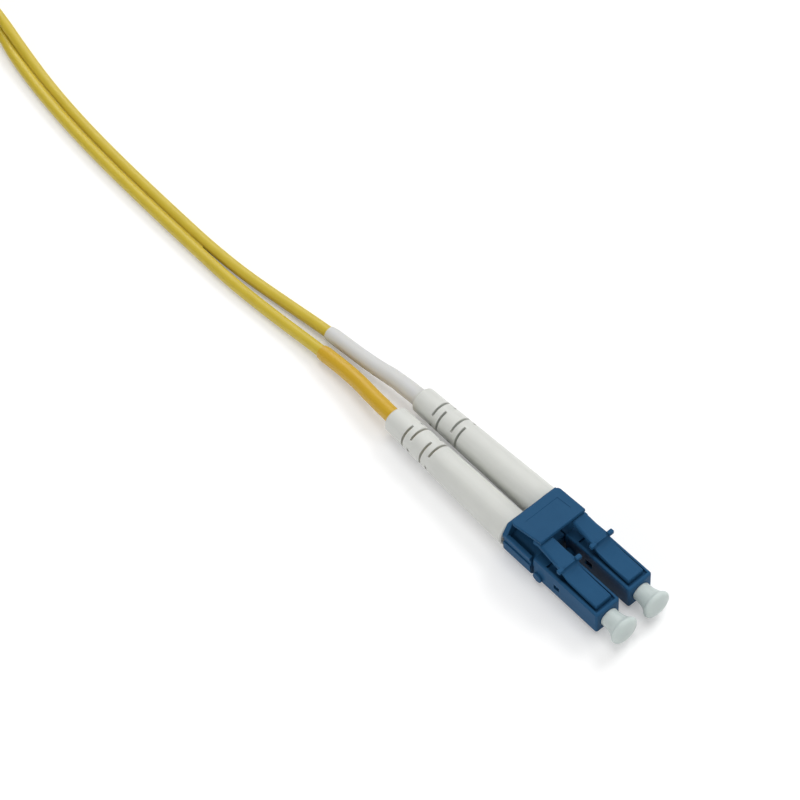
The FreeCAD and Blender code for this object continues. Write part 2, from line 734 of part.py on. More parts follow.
# Trigger: a sloping plate across both latches, hinged on the clip's rear wall.
def make_trigger(label, at):
    body = new_body(label)
    underside = "(sizes.trigger_top - sizes.trigger_thickness)"
    plate = [
        ("0", "-sizes.trigger_rear_width / 2"),
        ("sizes.trigger_reach", "-sizes.trigger_front_width / 2"),
        ("sizes.trigger_reach", "sizes.trigger_front_width / 2"),
        ("0", "sizes.trigger_rear_width / 2"),
    ]
    sweep_straight(
        body, "Pad", outline_sketch(body, "XY_Plane", plate, lift=underside), "sizes.trigger_thickness"
    )
    is_upright = lambda edge: along(edge, V(0, 0, 1)) and near(edge.Length, number("sizes.trigger_thickness"))
    rear_corner = lambda edge: is_upright(edge) and near(edge.Vertexes[0].X, 0, 0.01)
    soften(body, "Fillet", "sizes.trigger_corner_radius", rear_corner)
    top = number("sizes.trigger_top")
    soften(
        body,
        "Fillet",
        "sizes.trigger_edge_round",
        lambda edge: near(edge.BoundBox.ZMin, top) and near(edge.BoundBox.ZMax, top),
    )
    knuckle = "(sizes.trigger_pivot_height - sizes.rear_wall_height - sizes.trigger_hinge_gap)"
    barrel = circle_sketch(body, "XZ_Plane", "0", "0", knuckle)
    barrel_length = "sizes.trigger_rear_width - 2.4 * sizes.trigger_corner_radius"
    sweep_straight(body, "Pad", barrel, barrel_length, both_ways=True)
    ribs = new_sketch(body, "XY_Plane", underside)
    for sign in ("", "-"):
        outer = f"{sign}(sizes.trigger_front_width / 2)"
        inner = f"{sign}(sizes.trigger_front_width / 2 - sizes.trigger_rib_width)"
        rib_start = "sizes.trigger_corner_radius"
        rib_end = "sizes.trigger_rib_length"
        add_outline(ribs, [(rib_start, inner), (rib_end, inner), (rib_end, outer), (rib_start, outer)])
    sweep_straight(body, "Pad", ribs, "sizes.trigger_rib_height", True)
    panel = rectangle(
        "sizes.trigger_panel_start",
        "sizes.trigger_panel_start + sizes.trigger_panel_length",
        "-sizes.trigger_panel_width / 2",
        "sizes.trigger_panel_width / 2",
    )
    panel_sketch = outline_sketch(body, "XY_Plane", panel, lift="sizes.trigger_top")
    sweep_straight(body, "Pocket", panel_sketch, "sizes.trigger_panel_depth")
    put(body, at)
    body.Placement.Rotation = FreeCAD.Rotation(V(0, -1, 0), number("sizes.trigger_tilt"))
    body.setExpression("Placement.Rotation.Angle", "sizes.trigger_tilt")
    return body


# The two ends. A plug is named by the side it is on, seen from its boot with the latch on top.
ENDS = {
    "near": {"x": NEAR_END_X, "y": "0"},
    "far": {"x": "sizes.far_end_x", "y": "sizes.far_end_y"},
}
SIDES = {"left": "", "right": "-"}
parts = []
for end, place in ENDS.items():
    middle = (place["x"], place["y"], "sizes.axis_height")
    parts.append(make_clip(f"clip_{end}", middle))
    pivot = (
        f"{place['x']} - {TRIGGER_PIVOT}",
        place["y"],
        "sizes.axis_height + sizes.trigger_pivot_height",
    )
    parts.append(make_trigger(f"trigger_{end}", pivot))
    for side, sign in SIDES.items():
        at = (place["x"], f"{place['y']} {sign or '+'} {REAR_PITCH}", "sizes.axis_height")
        tag = f"{side}_{end}"
        parts.append(make_housing(f"housing_{tag}", at))
        parts.append(make_latch(f"latch_{tag}", at))
        parts.append(make_ferrule(f"ferrule_{tag}", at))
        parts.append(make_flange(f"ferrule_flange_{tag}", at))
        parts.append(make_spring(f"spring_{tag}", at))
        parts.append(make_rear_body(f"rear_body_{tag}", at))
        parts.append(make_crimp_sleeve(f"crimp_sleeve_{tag}", at))
        parts.append(make_dust_cap(f"dust_cap_{tag}", at))
        slot_turn = f"sizes.{side}_slot_turn"
        leaning = [make_boot(f"boot_{tag}", at, slot_turn), make_stripped_end(f"stripped_end_{tag}", at)]
        if end == "near":
            toe_in = number(f"sizes.{side}_boot_toe_in")
            about = V(-number("sizes.toe_in_pivot_depth"), 0, 0)
            turn = FreeCAD.Rotation(V(0, 0, 1), toe_in if side == "left" else -toe_in)
            for thing in leaning:
                thing.Placement.Rotation = turn
                slip = about - turn.multVec(about)
                thing.setExpression("Placement.Base.x", f"{at[0]} + {slip.x}")
                thing.setExpression("Placement.Base.y", f"{at[1]} + {slip.y}")
        parts += leaning


# Cords. A free stretch is straight runs joined by tangent arcs that take 0.45 of the shorter run.
def rounded_route(points):
    corners = [V(*point) for point in points]
    edges = []
    radii = []
    at = corners[0]
    for before, corner, after in zip(corners, corners[1:], corners[2:]):
        to_corner = (corner - before).normalize()
        from_corner = (after - corner).normalize()
        reach = 0.45 * min((corner - before).Length, (after - corner).Length)
        half_turn = to_corner.getAngle(from_corner) / 2
        radius = reach / math.tan(half_turn)
        radii.append(radius)
        start = corner - to_corner * reach
        end = corner + from_corner * reach
        inward = (from_corner - to_corner).normalize()
        middle = corner + inward * (radius / math.cos(half_turn) - radius)
        edges.append(Part.LineSegment(at, start).toShape())
        edges.append(Part.Arc(start, middle, end).toShape())
        at = end
    edges.append(Part.LineSegment(at, corners[-1]).toShape())
    return edges, min(radii)


def arc_through(start, middle, end):
    return Part.Arc(V(*start), V(*middle), V(*end)).toShape()


def drawn_in_half(start, shift, heading, length):
    """Two equal arcs that carry a run sideways by a shift and leave it heading as before."""
    along_run = V(heading, 0, 0)
    middle = start + along_run * (length / 2) + shift / 2
    slope = 2 * math.atan(shift.Length / length)
    radius = length / (2 * math.sin(slope))
    aside = V(shift).normalize()
    edges = []
    for centre, towards in ((start + aside * radius, -1), (middle + (middle - start - aside * radius), 1)):
        angles = (0, slope / 2, slope) if towards < 0 else (slope, slope / 2, 0)
        edges.append(
            Part.Arc(
                *[
                    centre
                    + aside * (towards * radius * math.cos(angle))
                    + along_run * (-towards * radius * math.sin(angle))
                    for angle in angles
                ]
            ).toShape()
        )
    return edges, start + along_run * length + shift


def hank_path(rise):
    """The hank's nine runs and eight folds, for one jacket of the pair, set down at a height."""
    run = number("sizes.hank_run")
    straight = number("sizes.hank_straight")
    band = number("sizes.tie_band")
    bend = (run - 2 * straight - band) / 2
    step = number("sizes.hank_lane_step")
    waist = number("sizes.hank_waist")
    layer = number("2 * sizes.cord_radius + sizes.pair_spacing + sizes.hank_layer_gap")
    right = number("sizes.hank_x")
    middle_y = number("sizes.hank_y")
    lanes = [number("sizes.hank_outer_lane") - step * turn for turn in (0, 1, 2, 3, 4, 3, 2, 1, 0)]
    edges = []
    for turn, lane in enumerate(lanes):
        side = 1 if turn % 2 == 0 else -1
        heading = -side
        low = rise + (0 if turn <= 4 else layer)
        climb = layer if turn == 4 else 0
        at = V(right if side > 0 else right - run, middle_y + side * lane, low)
        onward = at + V(heading * straight, 0, 0)
        edges.append(Part.LineSegment(at, onward).toShape())
        inward, at = drawn_in_half(onward, V(0, -side * waist, climb / 2), heading, bend)
        onward = at + V(heading * band, 0, 0)
        edges += inward + [Part.LineSegment(at, onward).toShape()]
        outward, at = drawn_in_half(onward, V(0, side * waist, climb / 2), heading, bend)
        onward = at + V(heading * straight, 0, 0)
        edges += outward + [Part.LineSegment(at, onward).toShape()]
        if turn == len(lanes) - 1:
            break
        radius = (lane + lanes[turn + 1]) / 2
        centre = onward + V(0, -side * radius, 0)
        quarter = math.radians(45)
        for first in (0, 1):
            angles = [(2 * first + part) * quarter for part in (0, 1, 2)]
            spots = [
                centre + V(heading * radius * math.sin(angle), side * radius * math.cos(angle), 0)
                for angle in angles
            ]
            edges.append(Part.Arc(*spots).toShape())
    return edges


def tube(edges, radius):
    """One round tube along a path, as a solid."""
    start = edges[0].Vertexes[0].Point
    heading = edges[0].tangentAt(edges[0].FirstParameter)
    section = Part.Wire(Part.makeCircle(radius, start, heading))
    solid = Part.Wire(edges).makePipeShell([section], True, False)
    length = sum(edge.Length for edge in edges)
    ideal = math.pi * radius ** 2 * length
    print(f"  tube {length:.1f} mm long, volume {solid.Volume:.1f} of {ideal:.1f}")
    return solid


def cut_short(edges, length):
    """The first part of a path."""
    kept = []
    left = length
    for edge in edges:
        if edge.Length >= left:
            last = edge.getParameterByLength(left)
            kept.append(Part.Edge(edge.Curve, edge.FirstParameter, last))
            return kept
        kept.append(edge)
        left -= edge.Length
    return kept


def add_shape(label, shape):
    thing = doc.addObject("Part::Feature", label)
    thing.Label = label
    thing.Shape = shape
    parts.append(thing)
    return thing


def boot_axis_point(end, side, depth):
    """A point on a boot's own axis at a depth behind the mating face."""
    place = ENDS[end]
    x = number(place["x"])
    sign = 1 if side == "left" else -1
    y = number(place["y"]) + sign * number(REAR_PITCH)
    toe_in = math.radians(number(f"sizes.{side}_boot_toe_in")) if end == "near" else 0.0
    pivot = number("sizes.toe_in_pivot_depth")
    behind = depth - pivot
    return (
        x - pivot - behind * math.cos(toe_in),
        y - sign * behind * math.sin(toe_in),
        number("sizes.axis_height"),
    )


CORD = number("sizes.cord_radius")
HALF_PAIR = number("sizes.pair_spacing") / 2
LEG_DEPTH = number(LEG_START)
BEND_DEPTH = number(f"{BOOT_REAR} + sizes.straight_past_boot")

# Where the pair joins, and the line that its middle follows to the hank: x, y, the pair's lean
# from side by side (0) to one on the other (90), and how far it is off the surface.
PAIR_LINE = [
    (-75.6, -2.65, 0, 0.0),
    (-84.0, -2.62, 0, 0.0),
    (-95.0, -2.5, 0, 0.0),
    (-106.0, -2.2, 0, 0.0),
    (-117.0, -1.6, 0, 0.0),
    (-128.0, -0.5, 0, 0.0),
    (-138.0, 0.9, 20, 0.1),
    (-146.0, 2.4, 55, 0.45),
    (-153.5, 3.7, 90, 0.9),
    (-160.0, 3.7, 90, 0.9),
]


def pair_point(x, y, lean, lift, side):
    """One jacket's middle; side is -1 for the right plug's cord and +1 for the left plug's."""
    angle = math.radians(lean)
    height = CORD + lift + HALF_PAIR * math.sin(angle)
    return (x, y + side * HALF_PAIR * math.cos(angle), height + side * HALF_PAIR * math.sin(angle))


right_points = [
    boot_axis_point("near", "right", LEG_DEPTH),
    boot_axis_point("near", "right", BEND_DEPTH),
    (-36.8, -1.95, 2.2),
    (-46.5, -2.3, 1.42),
    (-57.0, -3.1, CORD),
    (-67.0, -3.72, CORD),
    pair_point(*PAIR_LINE[0], -1),
]
left_points = [
    boot_axis_point("near", "left", LEG_DEPTH),
    boot_axis_point("near", "left", BEND_DEPTH),
    (-37.0, 1.55, 2.2),
    (-47.0, 1.15, 1.42),
    (-56.5, 0.1, CORD),
    (-66.5, -1.15, CORD),
    pair_point(*PAIR_LINE[0], 1),
]

# After the hank the pair turns wide round its left folds, comes down and lies flat again.
LAYER_TWO = number("2 * sizes.cord_radius + sizes.pair_spacing + sizes.hank_layer_gap")
last_lane = number("sizes.hank_y + sizes.hank_outer_lane")
end_y = number("sizes.far_end_y")
turn_radius = (last_lane - end_y) / 2
turn_x = number("sizes.hank_x - sizes.hank_run")
turn_y = (last_lane + end_y) / 2
lift_two = number("sizes.hank_lift") + LAYER_TWO
split_x = number(f"sizes.far_end_x - {BOOT_REAR} - sizes.far_leg_free")
LAST_TURN = [
    (15, 90, lift_two),
    (45, 90, lift_two),
    (75, 75, 0.8 * lift_two),
    (105, 50, 0.5 * lift_two),
    (135, 25, 0.2 * lift_two),
    (165, 5, 0.02 * lift_two),
]


def far_run_points(side):
    height = CORD + lift_two + HALF_PAIR + side * HALF_PAIR
    points = [(turn_x, last_lane, height)]
    for turn, lean, lift in LAST_TURN:
        about = math.radians(turn)
        lying = math.radians(lean)
        reach = (turn_radius + side * HALF_PAIR * math.cos(lying)) / math.cos(math.radians(15))
        rise = CORD + lift + HALF_PAIR * math.sin(lying) * (1 + side)
        points.append((turn_x - reach * math.sin(about), turn_y + reach * math.cos(about), rise))
    points.append((split_x, end_y - side * HALF_PAIR, CORD))
    return points


def far_leg_points(side):
    plug = "right" if side > 0 else "left"
    start = (split_x, end_y - side * HALF_PAIR, CORD)
    boot_bend = boot_axis_point("far", plug, BEND_DEPTH)
    boot_end = boot_axis_point("far", plug, LEG_DEPTH)
    low = (split_x + 6.0, end_y - side * (HALF_PAIR + 0.12), CORD)
    rising = (split_x + 12.5, end_y - side * 2.2, 1.9)
    return [start, low, rising, boot_bend, boot_end]


legs = {
    "leg_right_near": right_points,
    "leg_left_near": left_points,
    "leg_left_far": far_leg_points(-1),
    "leg_right_far": far_leg_points(1),
}
leg_paths = {}
for label, points in legs.items():
    leg_paths[label], smallest = rounded_route(points)
    print(f"{label}: smallest radius {smallest:.1f}")
    add_shape(label, tube(leg_paths[label], CORD))

runs = {
    "zip_run_near": [[pair_point(*spot, side) for spot in PAIR_LINE] for side in (-1, 1)],
    "zip_run_far": [far_run_points(side) for side in (-1, 1)],
}
for label, pair in runs.items():
    jackets = []
    for points in pair:
        path, smallest = rounded_route(points)
        print(f"{label}: smallest radius {smallest:.1f}")
        jackets.append(tube(path, CORD))
    add_shape(label, Part.makeCompound(jackets))

hank_low = CORD + number("sizes.hank_lift")
hank_paths = [hank_path(hank_low), hank_path(hank_low + 2 * HALF_PAIR)]
print("zip_hank")
add_shape("zip_hank", Part.makeCompound([tube(path, CORD) for path in hank_paths]))

sleeves = {
    "sleeve_orange_near": ("leg_right_near", "right_sleeve_length", False),
    "sleeve_white_near": ("leg_left_near", "left_sleeve_length", False),
    "sleeve_orange_far": ("leg_left_far", "far_sleeve_length", True),
    "sleeve_white_far": ("leg_right_far", "far_sleeve_length", True),
}
for label, (leg, length, from_end) in sleeves.items():
    points = legs[leg][::-1] if from_end else legs[leg]
    path = cut_short(rounded_route(points)[0], number(f"sizes.{length}"))
    outside = tube(path, number("sizes.sleeve_radius"))
    inside = tube(path, number("sizes.cord_radius + sizes.sleeve_gap"))
    add_shape(label, outside.cut(inside))


# Tie round the hank's waist.
def make_tie(label):
    body = new_body(label)
    upper = "(sizes.hank_outer_lane - sizes.hank_waist + sizes.cord_radius + sizes.tie_gap)"
    lower = f"({upper} - sizes.hank_lane_step)"
    top = (
        "(2 * (2 * sizes.cord_radius + sizes.pair_spacing) + sizes.hank_layer_gap + sizes.hank_lift"
        " + sizes.tie_gap)"
    )
    bottom = "(sizes.hank_lift - sizes.tie_gap)"
    wall = "sizes.tie_thickness"
    outer = rectangle(f"-({lower} + {wall})", f"{upper} + {wall}", f"{bottom} - {wall}", f"{top} + {wall}")
    inner = rectangle(f"-{lower}", upper, bottom, top)
    band = outline_sketch(body, "YZ_Plane", outer)
    sweep_straight(body, "Pad", band, "sizes.tie_length", both_ways=True)
    soften(body, "Fillet", "sizes.tie_round", lambda edge: along(edge, V(1, 0, 0)))
    opening = outline_sketch(body, "YZ_Plane", inner)
    sweep_straight(body, "Pocket", opening, "sizes.tie_length + 1", both_ways=True)
    put(body, ("sizes.hank_x - sizes.hank_run / 2", "sizes.hank_y", "0"))
    return body


parts.append(make_tie("hank_tie"))
doc.recompute()


def least_gap(paths, spacing=1.5, apart=12.0):
    """The least clear gap between stretches of the hank that are a good way apart along it."""
    spots = []
    for number_of_path, path in enumerate(paths):
        gone = 0.0
        for edge in path:
            count = max(2, int(edge.Length / spacing) + 1)
            for step, spot in enumerate(edge.discretize(count)[:-1]):
                spots.append((number_of_path, gone + step * edge.Length / (count - 1), spot))
            gone += edge.Length
    least = 1e9
    for i, (path_a, gone_a, a) in enumerate(spots):
        for path_b, gone_b, b in spots[i + 1:]:
            if abs(gone_a - gone_b) > apart:
                least = min(least, a.distanceToPoint(b))
    return least - 2 * CORD


print(f"least gap between turns of the hank {least_gap(hank_paths):.2f} mm")

os.makedirs("parts", exist_ok=True)
faults = [thing.Label for thing in doc.Objects if "Invalid" in thing.State or "Error" in thing.State]
faults += [part.Label for part in parts if part.Shape.isNull() or not part.Shape.isValid()]
if faults:
    raise SystemExit(f"not written, these failed: {faults}")
for part in parts:
    part.Shape.exportStep(f"parts/{part.Label}.step")
print(f"{len(parts)} sub-parts written")
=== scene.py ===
import json
import math

import bmesh
import bpy
import numpy as np
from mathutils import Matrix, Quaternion, Vector

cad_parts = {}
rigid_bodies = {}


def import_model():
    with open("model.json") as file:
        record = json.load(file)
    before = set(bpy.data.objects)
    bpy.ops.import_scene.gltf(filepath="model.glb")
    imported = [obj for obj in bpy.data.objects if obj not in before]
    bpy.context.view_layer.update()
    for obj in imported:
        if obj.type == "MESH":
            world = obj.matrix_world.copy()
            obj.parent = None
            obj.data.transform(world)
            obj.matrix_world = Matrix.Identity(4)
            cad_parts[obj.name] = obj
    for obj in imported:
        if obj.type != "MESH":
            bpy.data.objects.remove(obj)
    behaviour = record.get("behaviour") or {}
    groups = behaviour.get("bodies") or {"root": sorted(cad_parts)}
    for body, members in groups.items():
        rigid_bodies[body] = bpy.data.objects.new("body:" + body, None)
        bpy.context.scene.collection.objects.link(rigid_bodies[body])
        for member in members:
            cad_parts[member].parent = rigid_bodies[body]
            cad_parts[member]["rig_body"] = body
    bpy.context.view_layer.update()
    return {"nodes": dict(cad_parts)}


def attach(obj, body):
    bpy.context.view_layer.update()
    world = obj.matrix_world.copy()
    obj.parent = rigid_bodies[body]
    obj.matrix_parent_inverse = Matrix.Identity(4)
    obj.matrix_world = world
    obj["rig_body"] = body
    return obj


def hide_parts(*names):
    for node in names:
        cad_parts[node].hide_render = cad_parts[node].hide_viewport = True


mm = 0.001

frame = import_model()
print("frame loaded:", len(frame["nodes"]), "nodes")


# Camera: a long lens, high over the cord and beside the plugs
camera = {
    "place": (0.12658, -0.10575, 0.24475),
    "aim": (-0.02979, 0.00129, 0.0),
    "roll": 7.0,  # degrees about the line of sight
    "lens": 89.36,
    "sensor": 36.0,
}


def makeCamera(c):
    data = bpy.data.cameras.new("camera")
    data.lens = c["lens"]
    data.sensor_width = c["sensor"]
    data.clip_start = 0.01
    data.clip_end = 20
    made = bpy.data.objects.new("camera", data)
    bpy.context.scene.collection.objects.link(made)
    sight = (Vector(c["aim"]) - Vector(c["place"])).normalized()
    level = sight.to_track_quat("-Z", "Y")
    made.location = c["place"]
    made.rotation_mode = "QUATERNION"
    made.rotation_quaternion = Quaternion(sight, math.radians(c["roll"])) @ level
    bpy.context.scene.camera = made


makeCamera(camera)
print("camera placed")

# Two jackets, each followed from boot to boot. side -1 is the cord of the right near plug, which ends
# in the left far plug, and +1 the other. Points are the route's own, in millimetres until they are used.
cord = {
    "radius": 1.0,
    "halfPair": 1.05,
    "ring": 20,  # sides of a jacket
    "steps": 8,  # points between two control points
    "webThickness": 0.5,
}
legNear = {
    -1: [
        (-13.34, -2.968, 2.9), (-29.24, -2.801, 2.9), (-36.8, -1.95, 2.2),
        (-46.5, -2.3, 1.42), (-57.0, -3.1, 1.0), (-67.0, -3.72, 1.0),
    ],
    1: [
        (-13.34, 2.863, 2.9), (-29.24, 2.586, 2.9), (-37.0, 1.55, 2.2),
        (-47.0, 1.15, 1.42), (-56.5, 0.1, 1.0), (-66.5, -1.15, 1.0),
    ],
}
pairLine = [  # x, y, lean of the pair in degrees, height off the floor
    (-75.6, -2.65, 0, 0.0), (-84.0, -2.62, 0, 0.0), (-95.0, -2.5, 0, 0.0), (-106.0, -2.2, 0, 0.0),
    (-117.0, -1.6, 0, 0.0), (-128.0, -0.5, 0, 0.0), (-138.0, 0.9, 20, 0.1), (-146.0, 2.4, 55, 0.45),
    (-153.5, 3.7, 90, 0.9),
]
hank = {
    "right": -160.0, "middle": -10.0, "run": 47.0,
    "lanes": [13.7, 12.3, 10.9, 9.5, 8.1, 9.5, 10.9, 12.3, 13.7],
    "waist": 4.5, "straight": 2.0, "band": 8.0, "lift": 0.9, "layer": 4.55,
}
lastTurn = [(15, 90, 1.0), (45, 90, 1.0), (75, 75, 0.8), (105, 50, 0.5), (135, 25, 0.2), (165, 5, 0.02)]
farEnd = {"x": -126.5, "y": -30.3, "pitch": 6.25, "boot": 47.5, "split": -196.0, "height": 2.9}


# A jacket stands half the pair's spacing from the line, turned up by the pair's lean.
def pairPoints(side):
    x, y, lean, lift = np.array(pairLine).T
    lean = np.radians(lean)
    half = cord["halfPair"]
    z = cord["radius"] + lift + half * np.sin(lean) * (1 + side)
    return np.stack([x, y + side * half * np.cos(lean), z], 1)


# Each run's four corners, drawn in at the waist, then each fold's six on a circle 1 / cos 15 degrees
# wider.
def hankPoints(side):
    bend = (hank["run"] - 2 * hank["straight"] - hank["band"]) / 2
    slope = 2 * math.atan(hank["waist"] / bend)
    reach = bend / (2 * math.sin(slope)) * math.tan(slope / 2)
    first = hank["straight"] + reach
    second = hank["straight"] + bend - reach
    low = cord["radius"] + hank["lift"] + cord["halfPair"] * (1 + side)
    points = []
    for turn, lane in enumerate(hank["lanes"]):
        up = 1 if turn % 2 == 0 else -1
        start = hank["right"] - (0 if up > 0 else hank["run"])
        base = low + (hank["layer"] if turn > 4 else 0)
        climb = hank["layer"] if turn == 4 else 0
        inner = lane - hank["waist"]
        for gone, out, rise in (
            (first, lane, 0), (second, inner, climb / 2),
            (hank["run"] - second, inner, climb / 2), (hank["run"] - first, lane, climb),
        ):
            points.append((start - up * gone, hank["middle"] + up * out, base + rise))
        if turn + 1 < len(hank["lanes"]):
            radius = (lane + hank["lanes"][turn + 1]) / 2
            end = start - up * hank["run"]
            centre = hank["middle"] + up * (lane - radius)
            for angle in np.radians(np.arange(15, 180, 30)):
                wide = radius / math.cos(math.radians(15))
                points.append((
                    end - up * wide * math.sin(angle), centre + up * wide * math.cos(angle), base + climb,
                ))
    return np.array(points)


# The wide fold that comes down to the floor: six corners, the pair laid flat as it goes.
def lastTurnPoints(side):
    turn, lean, lift = np.array(lastTurn).T
    turn, lean = np.radians(turn), np.radians(lean)
    top = hank["middle"] + hank["lanes"][-1]
    half = cord["halfPair"]
    reach = ((top - farEnd["y"]) / 2 + side * half * np.cos(lean)) / math.cos(math.radians(15))
    x = hank["right"] - hank["run"] - reach * np.sin(turn)
    y = (top + farEnd["y"]) / 2 + reach * np.cos(turn)
    z = cord["radius"] + lift * (hank["lift"] + hank["layer"]) + half * np.sin(lean) * (1 + side)
    return np.stack([x, y, z], 1)


def farLegPoints(side):
    y, split = farEnd["y"], farEnd["split"]
    axis = y - side * farEnd["pitch"] / 2
    boot = farEnd["x"] - farEnd["boot"]
    return np.array([
        (split, y - side * cord["halfPair"], 1.0), (split + 6, y - side * (cord["halfPair"] + 0.12), 1.0),
        (split + 12.5, y - side * 2.2, 1.9), (boot - 3.4, axis, farEnd["height"]),
        (boot + 12.5, axis, farEnd["height"]),
    ])


# Points read from one NURBS line of order 3 that has the route's points as its control points.
def splineThrough(points):
    curve = bpy.data.curves.new("route", "CURVE")
    curve.dimensions = "3D"
    spline = curve.splines.new("NURBS")
    spline.points.add(len(points) - 1)
    spline.points.foreach_set("co", np.hstack([points * mm, np.ones((len(points), 1))]).ravel())
    spline.order_u = 3
    spline.use_endpoint_u = True
    spline.resolution_u = cord["steps"]
    holder = bpy.data.objects.new("route", curve)
    bpy.context.scene.collection.objects.link(holder)
    mesh = bpy.data.meshes.new_from_object(holder)
    line = np.zeros(len(mesh.vertices) * 3)
    mesh.vertices.foreach_get("co", line)
    bpy.data.objects.remove(holder)
    bpy.data.curves.remove(curve)
    bpy.data.meshes.remove(mesh)
    return line.reshape(-1, 3)


# One object from several closed grids. Each part is (points[u, v], wrapU): rings along v are always
# closed, and where u isn't wrapped, its first and last rings are closed by a fan to their middle.
def addMesh(name, parts, finish, body="cord"):
    verts, faces, uvs = [], [], []
    base = 0
    for grid, wrapU, uv in parts:
        nu, nv = grid.shape[:2]
        index = np.arange(nu * nv).reshape(nu, nv) + base
        rows = index if wrapU else index[:-1]
        onward = np.roll(index, -1, 0) if wrapU else index[1:]
        quads = np.stack([rows, np.roll(rows, -1, 1), np.roll(onward, -1, 1), onward], -1).reshape(-1, 4)
        faces.append(quads)
        verts.append(grid.reshape(-1, 3))
        uvs.append(uv.reshape(-1, 2))
        base += nu * nv
        if not wrapU:
            for ring, flip in ((index[0], True), (index[-1], False)):
                at = 0 if flip else nu - 1
                verts.append(grid[at].mean(0)[None])
                uvs.append(uv[at].mean(0)[None])
                fan = np.stack([ring, np.roll(ring, -1), np.full(nv, base), np.full(nv, base)], -1)
                faces.append(fan[:, [1, 0, 2, 3]] if flip else fan)
                base += 1
    verts, uvs = np.concatenate(verts), np.concatenate(uvs)
    polygons = [tuple(f) if f[2] != f[3] else tuple(f[:3]) for f in np.concatenate(faces).tolist()]
    mesh = bpy.data.meshes.new(name)
    mesh.from_pydata(verts.tolist(), [], polygons)
    layer = mesh.uv_layers.new(name="along")
    corners = np.zeros(len(mesh.loops), int)
    mesh.loops.foreach_get("vertex_index", corners)
    layer.data.foreach_set("uv", uvs[corners].ravel())
    mesh.polygons.foreach_set("use_smooth", [True] * len(mesh.polygons))
    mesh.validate()
    mesh.update()
    mesh.set_sharp_from_angle(angle=math.radians(40))
    made = bpy.data.objects.new(name, mesh)
    bpy.context.scene.collection.objects.link(made)
    mesh.materials.append(finish)
    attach(made, body)
    return made


# Two unit vectors square to a line at each point, carried along it without twist.
def frameAlong(line):
    ahead = np.gradient(line, axis=0)
    ahead /= np.linalg.norm(ahead, axis=1)[:, None]
    across = np.cross(ahead, (0, 0, 1))
    across /= np.linalg.norm(across, axis=1)[:, None]
    return ahead, across, np.cross(across, ahead)


def lengthAlong(line):
    return np.concatenate([[0], np.cumsum(np.linalg.norm(np.diff(line, axis=0), axis=1))])


# Point = line + radius * (across * cos a + above * sin a), for a once round.
def tubeGrid(line, radius, ring):
    ahead, across, above = frameAlong(line)
    a = np.linspace(0, 2 * np.pi, ring, endpoint=False)
    radius = np.broadcast_to(radius, len(line))[:, None, None]
    grid = line[:, None] + radius * (
        across[:, None] * np.cos(a)[None, :, None] + above[:, None] * np.sin(a)[None, :, None]
    )
    uv = np.stack(np.broadcast_arrays(lengthAlong(line)[:, None], (a / (2 * np.pi))[None, :]), -1)
    return grid[:, ::-1], False, uv[:, ::-1]


# A tube with a wall: out along its outer face, and back along its bore.
def sleeveGrid(line, outer, inner, ring):
    ahead, across, above = frameAlong(line)
    a = np.linspace(0, 2 * np.pi, ring, endpoint=False)
    rim = across[:, None] * np.cos(a)[None, :, None] + above[:, None] * np.sin(a)[None, :, None]
    outside = line[:, None] + outer[:, None, None] * rim
    inside = (line[:, None] + inner * rim)[::-1]
    grid = np.concatenate([outside, inside])
    gone = np.concatenate([lengthAlong(line), lengthAlong(line)[::-1]])
    uv = np.stack(np.broadcast_arrays(gone[:, None], (a / (2 * np.pi))[None, :]), -1)
    return grid[:, ::-1], True, uv[:, ::-1]


# The thin web between the jackets: four edges carried along both lines.
def webGrid(right, left):
    ahead = frameAlong((right + left) / 2)[0]
    over = left - right
    over /= np.linalg.norm(over, axis=1)[:, None]
    up = np.cross(ahead, over) * (cord["webThickness"] / 2 * mm)
    edge = over * 0.6 * cord["radius"] * mm
    grid = np.stack([right + edge - up, left - edge - up, left - edge + up, right + edge + up], 1)
    uv = np.stack(np.broadcast_arrays(lengthAlong(right)[:, None], np.linspace(0, 1, 4)[None, :]), -1)
    return grid[:, ::-1], False, uv[:, ::-1]


# Shader sums are written as they are thought: Wire overloads the signs that are used.
class Wire:
    def __init__(self, finish, socket):
        self.finish, self.socket = finish, socket

    def sum(self, operation, a, b):
        return self.finish.node("Math", {"operation": operation}, {0: a, 1: b})

    def __add__(self, other):
        return self.sum("ADD", self, other)

    def __radd__(self, other):
        return self.sum("ADD", other, self)

    def __mul__(self, other):
        return self.sum("MULTIPLY", self, other)

    def __rmul__(self, other):
        return self.sum("MULTIPLY", other, self)


